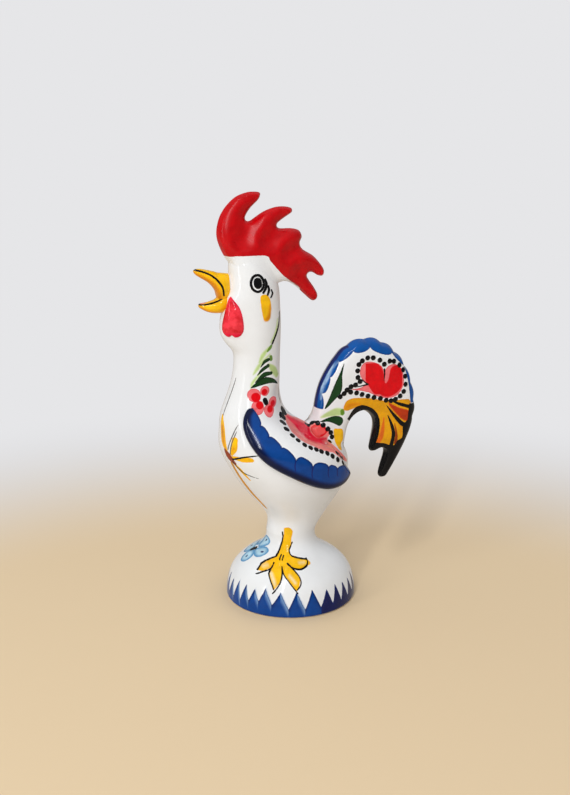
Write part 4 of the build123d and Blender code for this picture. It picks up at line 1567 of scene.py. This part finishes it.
def horn(sections):
    """Ovals along X, each with a lower and an upper edge and a half width; the last shrinks to the tip."""
    table = np.array(sections)
    along = np.linspace(0, 1, HORN_ROWS)
    knots = np.linspace(0, 1, len(table))
    x, low, high, half = [natural_spline(knots, table[:, i], along) for i in range(4)]
    shrink = np.sqrt(1 - np.clip((along - TIP_START) / (1 - TIP_START), 0, 1) ** 2)
    turn = np.radians(np.arange(0, 360, HORN_TURN))[None, :]
    middle, tall = (low + high) / 2, (high - low) / 2 * shrink
    y = (half * shrink)[:, None] * np.sin(turn)
    z = middle[:, None] + tall[:, None] * np.cos(turn)
    return np.stack(np.broadcast_arrays(x[:, None], y, z), axis=-1)


def make_beak(name, node, sections, line, shade):
    """One mandible and its black line; deeper yellow in the mouth and under the jaw is painted shade."""
    grid = horn(sections)
    q = side_sheet(grid)
    root = q[:, 0] - BEAK_ROOT
    marks = {
        "yellow": root,
        "honey": np.maximum(stroke(q, shade), root),
        "salmon": stroke(q, BLUSH),
        "black": stroke(q, line),
    }
    points, faces, marks = closed_tube(grid, grid[[0, -1]].mean(1), marks, turned=True)[:3]
    add_piece(name, points, faces, node, painted_glaze(name + "_glaze", marks), marks)


make_beak("upper_mandible", "upper_beak", UPPER_BEAK, UPPER_LINE, UPPER_PAINTED_SHADE)
make_beak("lower_mandible", "lower_beak", LOWER_BEAK, LOWER_LINE, LOWER_PAINTED_SHADE)

# %% Wattles
# Turn and height round the left drop, from its upper tip down the rear edge and up the front one
WATTLE_DROP = [
    (26, 107.2), (38, 106.1), (49, 104.4), (55, 102.0), (57.5, 99.0), (57, 96.4), (51, 94.6),
    (43, 94.0), (37, 94.6), (31, 94.0), (23, 94.6), (17.6, 96.2), (16.6, 99.0), (19.6, 102.2),
    (23.2, 105.2),
]
WATTLE_CENTRE = (37, 98.0)
WATTLE_SWELL, WATTLE_ROLL, WATTLE_SINK = 1.5, 0.95, 0.12
# A degree of turn and a mm of height as lengths on the throat, by which the outline's steps are even
THROAT_SCALE = (0.16, 1)
# The innermost ring's share of the outline, and a power that sets the rings closer at the edge
LEAST_RING, RING_POWER = 0.01, 0.8
# The right drop sits this much further round, in degrees
RIGHT_TURN = 7
# The dark band: outside this share of the outline and below this height, each with its slope
BAND_SHARE, BAND_SLOPE = 0.93, 4
LOW_HEIGHT, LOW_SLOPE = 95.6, 0.8
WATTLE_GROUND = (srgb(250, 62, 76), srgb(196, 0, 10))
WATTLE_ROUGHNESS, WATTLE_GRAIN = (0.03, 0.07), 420


def wattle_grid(extra=0, rings=70, columns=220):
    """Rings from the drop's middle to its outline, domed outwards by a quarter round towards the edge."""
    outline = loop(np.array(WATTLE_DROP) * THROAT_SCALE, columns) / THROAT_SCALE
    share = np.linspace(1, LEAST_RING, rings)[:, None, None] ** RING_POWER
    chart = np.array(WATTLE_CENTRE) * (1 - share) + outline[None] * share
    grid = throat(chart[..., 0] + extra, chart[..., 1])
    dome = WATTLE_SWELL * rolled((1 - share[..., 0]) / WATTLE_ROLL) - WATTLE_SINK
    out = np.cross(np.roll(grid, -1, axis=1) - grid, np.gradient(grid, axis=0))
    out = out / np.maximum(np.linalg.norm(out, axis=-1, keepdims=True), TINY)
    return grid - out * dome[..., None], share[..., 0]


def drop_points(grid):
    """The rings' points, and their middle as the last one."""
    return np.vstack([grid.reshape(-1, 3), grid[-1].mean(0)])


def make_wattles():
    """Both wattles; the colour is darker in a band along the edge."""
    grid, share = wattle_grid()
    rows, columns = grid.shape[:2]
    count = rows * columns
    edge = np.repeat((BAND_SHARE - share) * BAND_SLOPE, columns)
    low = (grid[..., 2].reshape(-1) - LOW_HEIGHT) * LOW_SLOPE
    marks = {"crimson": np.r_[nearest(edge, low), FAR]}
    fan = pole_faces(np.arange(count - columns, count), count, True)
    faces = [*grid_faces(rows, columns, True)[:, ::-1], *fan]
    material = painted_glaze("wattle_glaze", marks, WATTLE_GROUND, WATTLE_ROUGHNESS, WATTLE_GRAIN)
    add_piece("left_wattle_drop", drop_points(grid), faces, "left_wattle", material, marks)
    points = drop_points(wattle_grid(RIGHT_TURN)[0]) * MIRROR
    faces = [face[::-1] for face in faces]
    add_piece("right_wattle_drop", points, faces, "right_wattle", material, marks)


make_wattles()

# %% [markdown]
# ## Floor, light and camera
#
# A plain pale floor lies under the figure and fades into the backdrop, because a hard horizon
# would cut behind the figure. A low light stands at the left like a window, and a tall narrow
# one above it draws the long highlights by which the eye knows a smooth glaze. A picture of a
# room could light the scene too, but two lamps and a plain bright ceiling are easier to set.
# The camera looks down a little from the front left, as the photograph was taken.

# %% Floor
FLOOR_WARM, FLOOR_COOL, BACKDROP = srgb(238, 212, 172), srgb(222, 224, 228), srgb(230, 230, 232)
# The colour that the floor throws back at the figure
FLOOR_BOUNCE = srgb(228, 213, 193)
FLOOR_ROUGHNESS = 0.6
# Radii of the disc's rings, and of the warm, cool and fading parts round a middle, in metres
FLOOR_RINGS = (0.05, 0.2, 0.6, 2.0, 6.0)
WARM_MIDDLE = (-0.03, -0.10, 0.0)
WARM_RADIUS, COOL_RADIUS = 0.16, 0.36
FADE_START, FADE_STOP = 0.15, 0.34


def make_floor():
    """A wide disc, warm round the figure; far away the camera sees the backdrop's colour in its place."""
    turn = np.radians(np.arange(0, 360, 5))[None, :]
    radius = np.array(FLOOR_RINGS)[:, None]
    grid = np.stack(np.broadcast_arrays(radius * np.cos(turn), radius * np.sin(turn), 0.0), axis=-1)
    rows, columns = grid.shape[:2]
    points = np.vstack([grid.reshape(-1, 3), (0, 0, 0)])
    fan = pole_faces(np.arange(columns), rows * columns, False)
    faces = [*grid_faces(rows, columns, True)[:, ::-1], *fan]
    mesh = bpy.data.meshes.new("floor")
    mesh.from_pydata(points.tolist(), [], [f.tolist() for f in faces])
    material = bpy.data.materials.new("floor_paper")
    material.use_nodes = True
    tree = material.node_tree
    place = add_node(tree, "ShaderNodeTexCoord").outputs["Object"]
    ends = {0: place, 1: WARM_MIDDLE}
    from_warm = add_node(tree, "ShaderNodeVectorMath", ends, operation="DISTANCE").outputs["Value"]
    camera_ray = add_node(tree, "ShaderNodeLightPath").outputs["Is Camera Ray"]
    fade = map_range(tree, from_warm, FADE_START, FADE_STOP, high=camera_ray, shape="SMOOTHSTEP")
    cool = map_range(tree, from_warm, WARM_RADIUS, COOL_RADIUS, shape="SMOOTHSTEP")
    shader = tree.nodes["Principled BSDF"]
    seen = mix_colour(tree, cool, FLOOR_WARM, FLOOR_COOL)
    tree.links.new(mix_colour(tree, camera_ray, FLOOR_BOUNCE, seen), shader.inputs["Base Color"])
    shader.inputs["Roughness"].default_value = FLOOR_ROUGHNESS
    glow = add_node(tree, "ShaderNodeEmission", {"Color": BACKDROP})
    blend = add_node(tree, "ShaderNodeMixShader", {0: fade, 1: shader.outputs[0], 2: glow.outputs[0]})
    tree.links.new(blend.outputs[0], tree.nodes["Material Output"].inputs["Surface"])
    mesh.materials.append(material)
    floor = bpy.data.objects.new("floor", mesh)
    bpy.context.collection.objects.link(floor)
    print("floor radius in metres", FLOOR_RINGS[-1])


make_floor()

# %% Light
FIGURE_MIDDLE = (0.0, 0.0, 0.07)
LAMP_COLOUR = (0.95, 0.98, 1.0)
# Each lamp's place, its width and height, in metres, and its power in watts
LAMPS = {
    "window": ((-0.57, -0.25, 0.22), (0.05, 0.36), 0.65),
    "tall_strip": ((-0.50, -0.80, 0.80), (0.06, 1.0), 6.9),
}
# How bright the room is below and above the figure; the backdrop that the camera sees has 1
WALLS, CEILING = 0.3, 0.9


def add_softbox(name, place, size, power):
    """A rectangular lamp that looks at the figure's middle."""
    lamp = bpy.data.lights.new(name, "AREA")
    lamp.shape = "RECTANGLE"
    lamp.size, lamp.size_y = size
    lamp.energy = power
    lamp.color = LAMP_COLOUR
    holder = bpy.data.objects.new(name, lamp)
    holder.location = place
    holder.rotation_euler = (Vector(FIGURE_MIDDLE) - Vector(place)).to_track_quat("-Z", "Y").to_euler()
    bpy.context.collection.objects.link(holder)
    print(name, power, "W")


def make_backdrop():
    """A room: the camera sees a pale backdrop, and a bright ceiling over dim walls lights the figure."""
    world = bpy.data.worlds.new("backdrop")
    bpy.context.scene.world = world
    world.use_nodes = True
    tree = world.node_tree
    camera_ray = add_node(tree, "ShaderNodeLightPath").outputs["Is Camera Ray"]
    direction = add_node(tree, "ShaderNodeTexCoord").outputs["Generated"]
    up = add_node(tree, "ShaderNodeSeparateXYZ", {0: direction}).outputs["Z"]
    room = map_range(tree, up, 0.0, 1.0, WALLS, CEILING)
    strength = map_range(tree, camera_ray, 0.0, 1.0, room, 1.0)
    tree.nodes["Background"].inputs["Color"].default_value = BACKDROP
    tree.links.new(strength, tree.nodes["Background"].inputs["Strength"])


for name, (place, size, power) in LAMPS.items():
    add_softbox(name, place, size, power)
make_backdrop()
bpy.context.scene.view_settings.view_transform = "Standard"

# %% Camera
# The photograph's height, its focal length and the shift of its middle, in pixels
PHOTO_HEIGHT, FOCAL_PIXELS, SHIFT_PIXELS = 795, 1195.0, 5.5
SENSOR_WIDTH = 36.0
CAMERA_TURN, CAMERA_PITCH = np.radians(16.0), np.radians(15.7)
# Level distance from the origin and height, in metres
CAMERA_DISTANCE, CAMERA_HEIGHT = 0.388, 0.180


def add_camera():
    """A camera at the photograph's angle; its long side is the picture's height."""
    data = bpy.data.cameras.new("camera")
    data.sensor_width = SENSOR_WIDTH
    data.lens = FOCAL_PIXELS / PHOTO_HEIGHT * SENSOR_WIDTH
    data.shift_x = -SHIFT_PIXELS / PHOTO_HEIGHT
    data.clip_start = 0.01
    camera = bpy.data.objects.new("camera", data)
    across, back = CAMERA_DISTANCE * np.sin(CAMERA_TURN), CAMERA_DISTANCE * np.cos(CAMERA_TURN)
    camera.location = (-across, -back, CAMERA_HEIGHT)
    camera.rotation_euler = (np.pi / 2 - CAMERA_PITCH, 0, -CAMERA_TURN)
    bpy.context.collection.objects.link(camera)
    bpy.context.scene.camera = camera
    print("lens in mm", round(data.lens, 1))


add_camera()
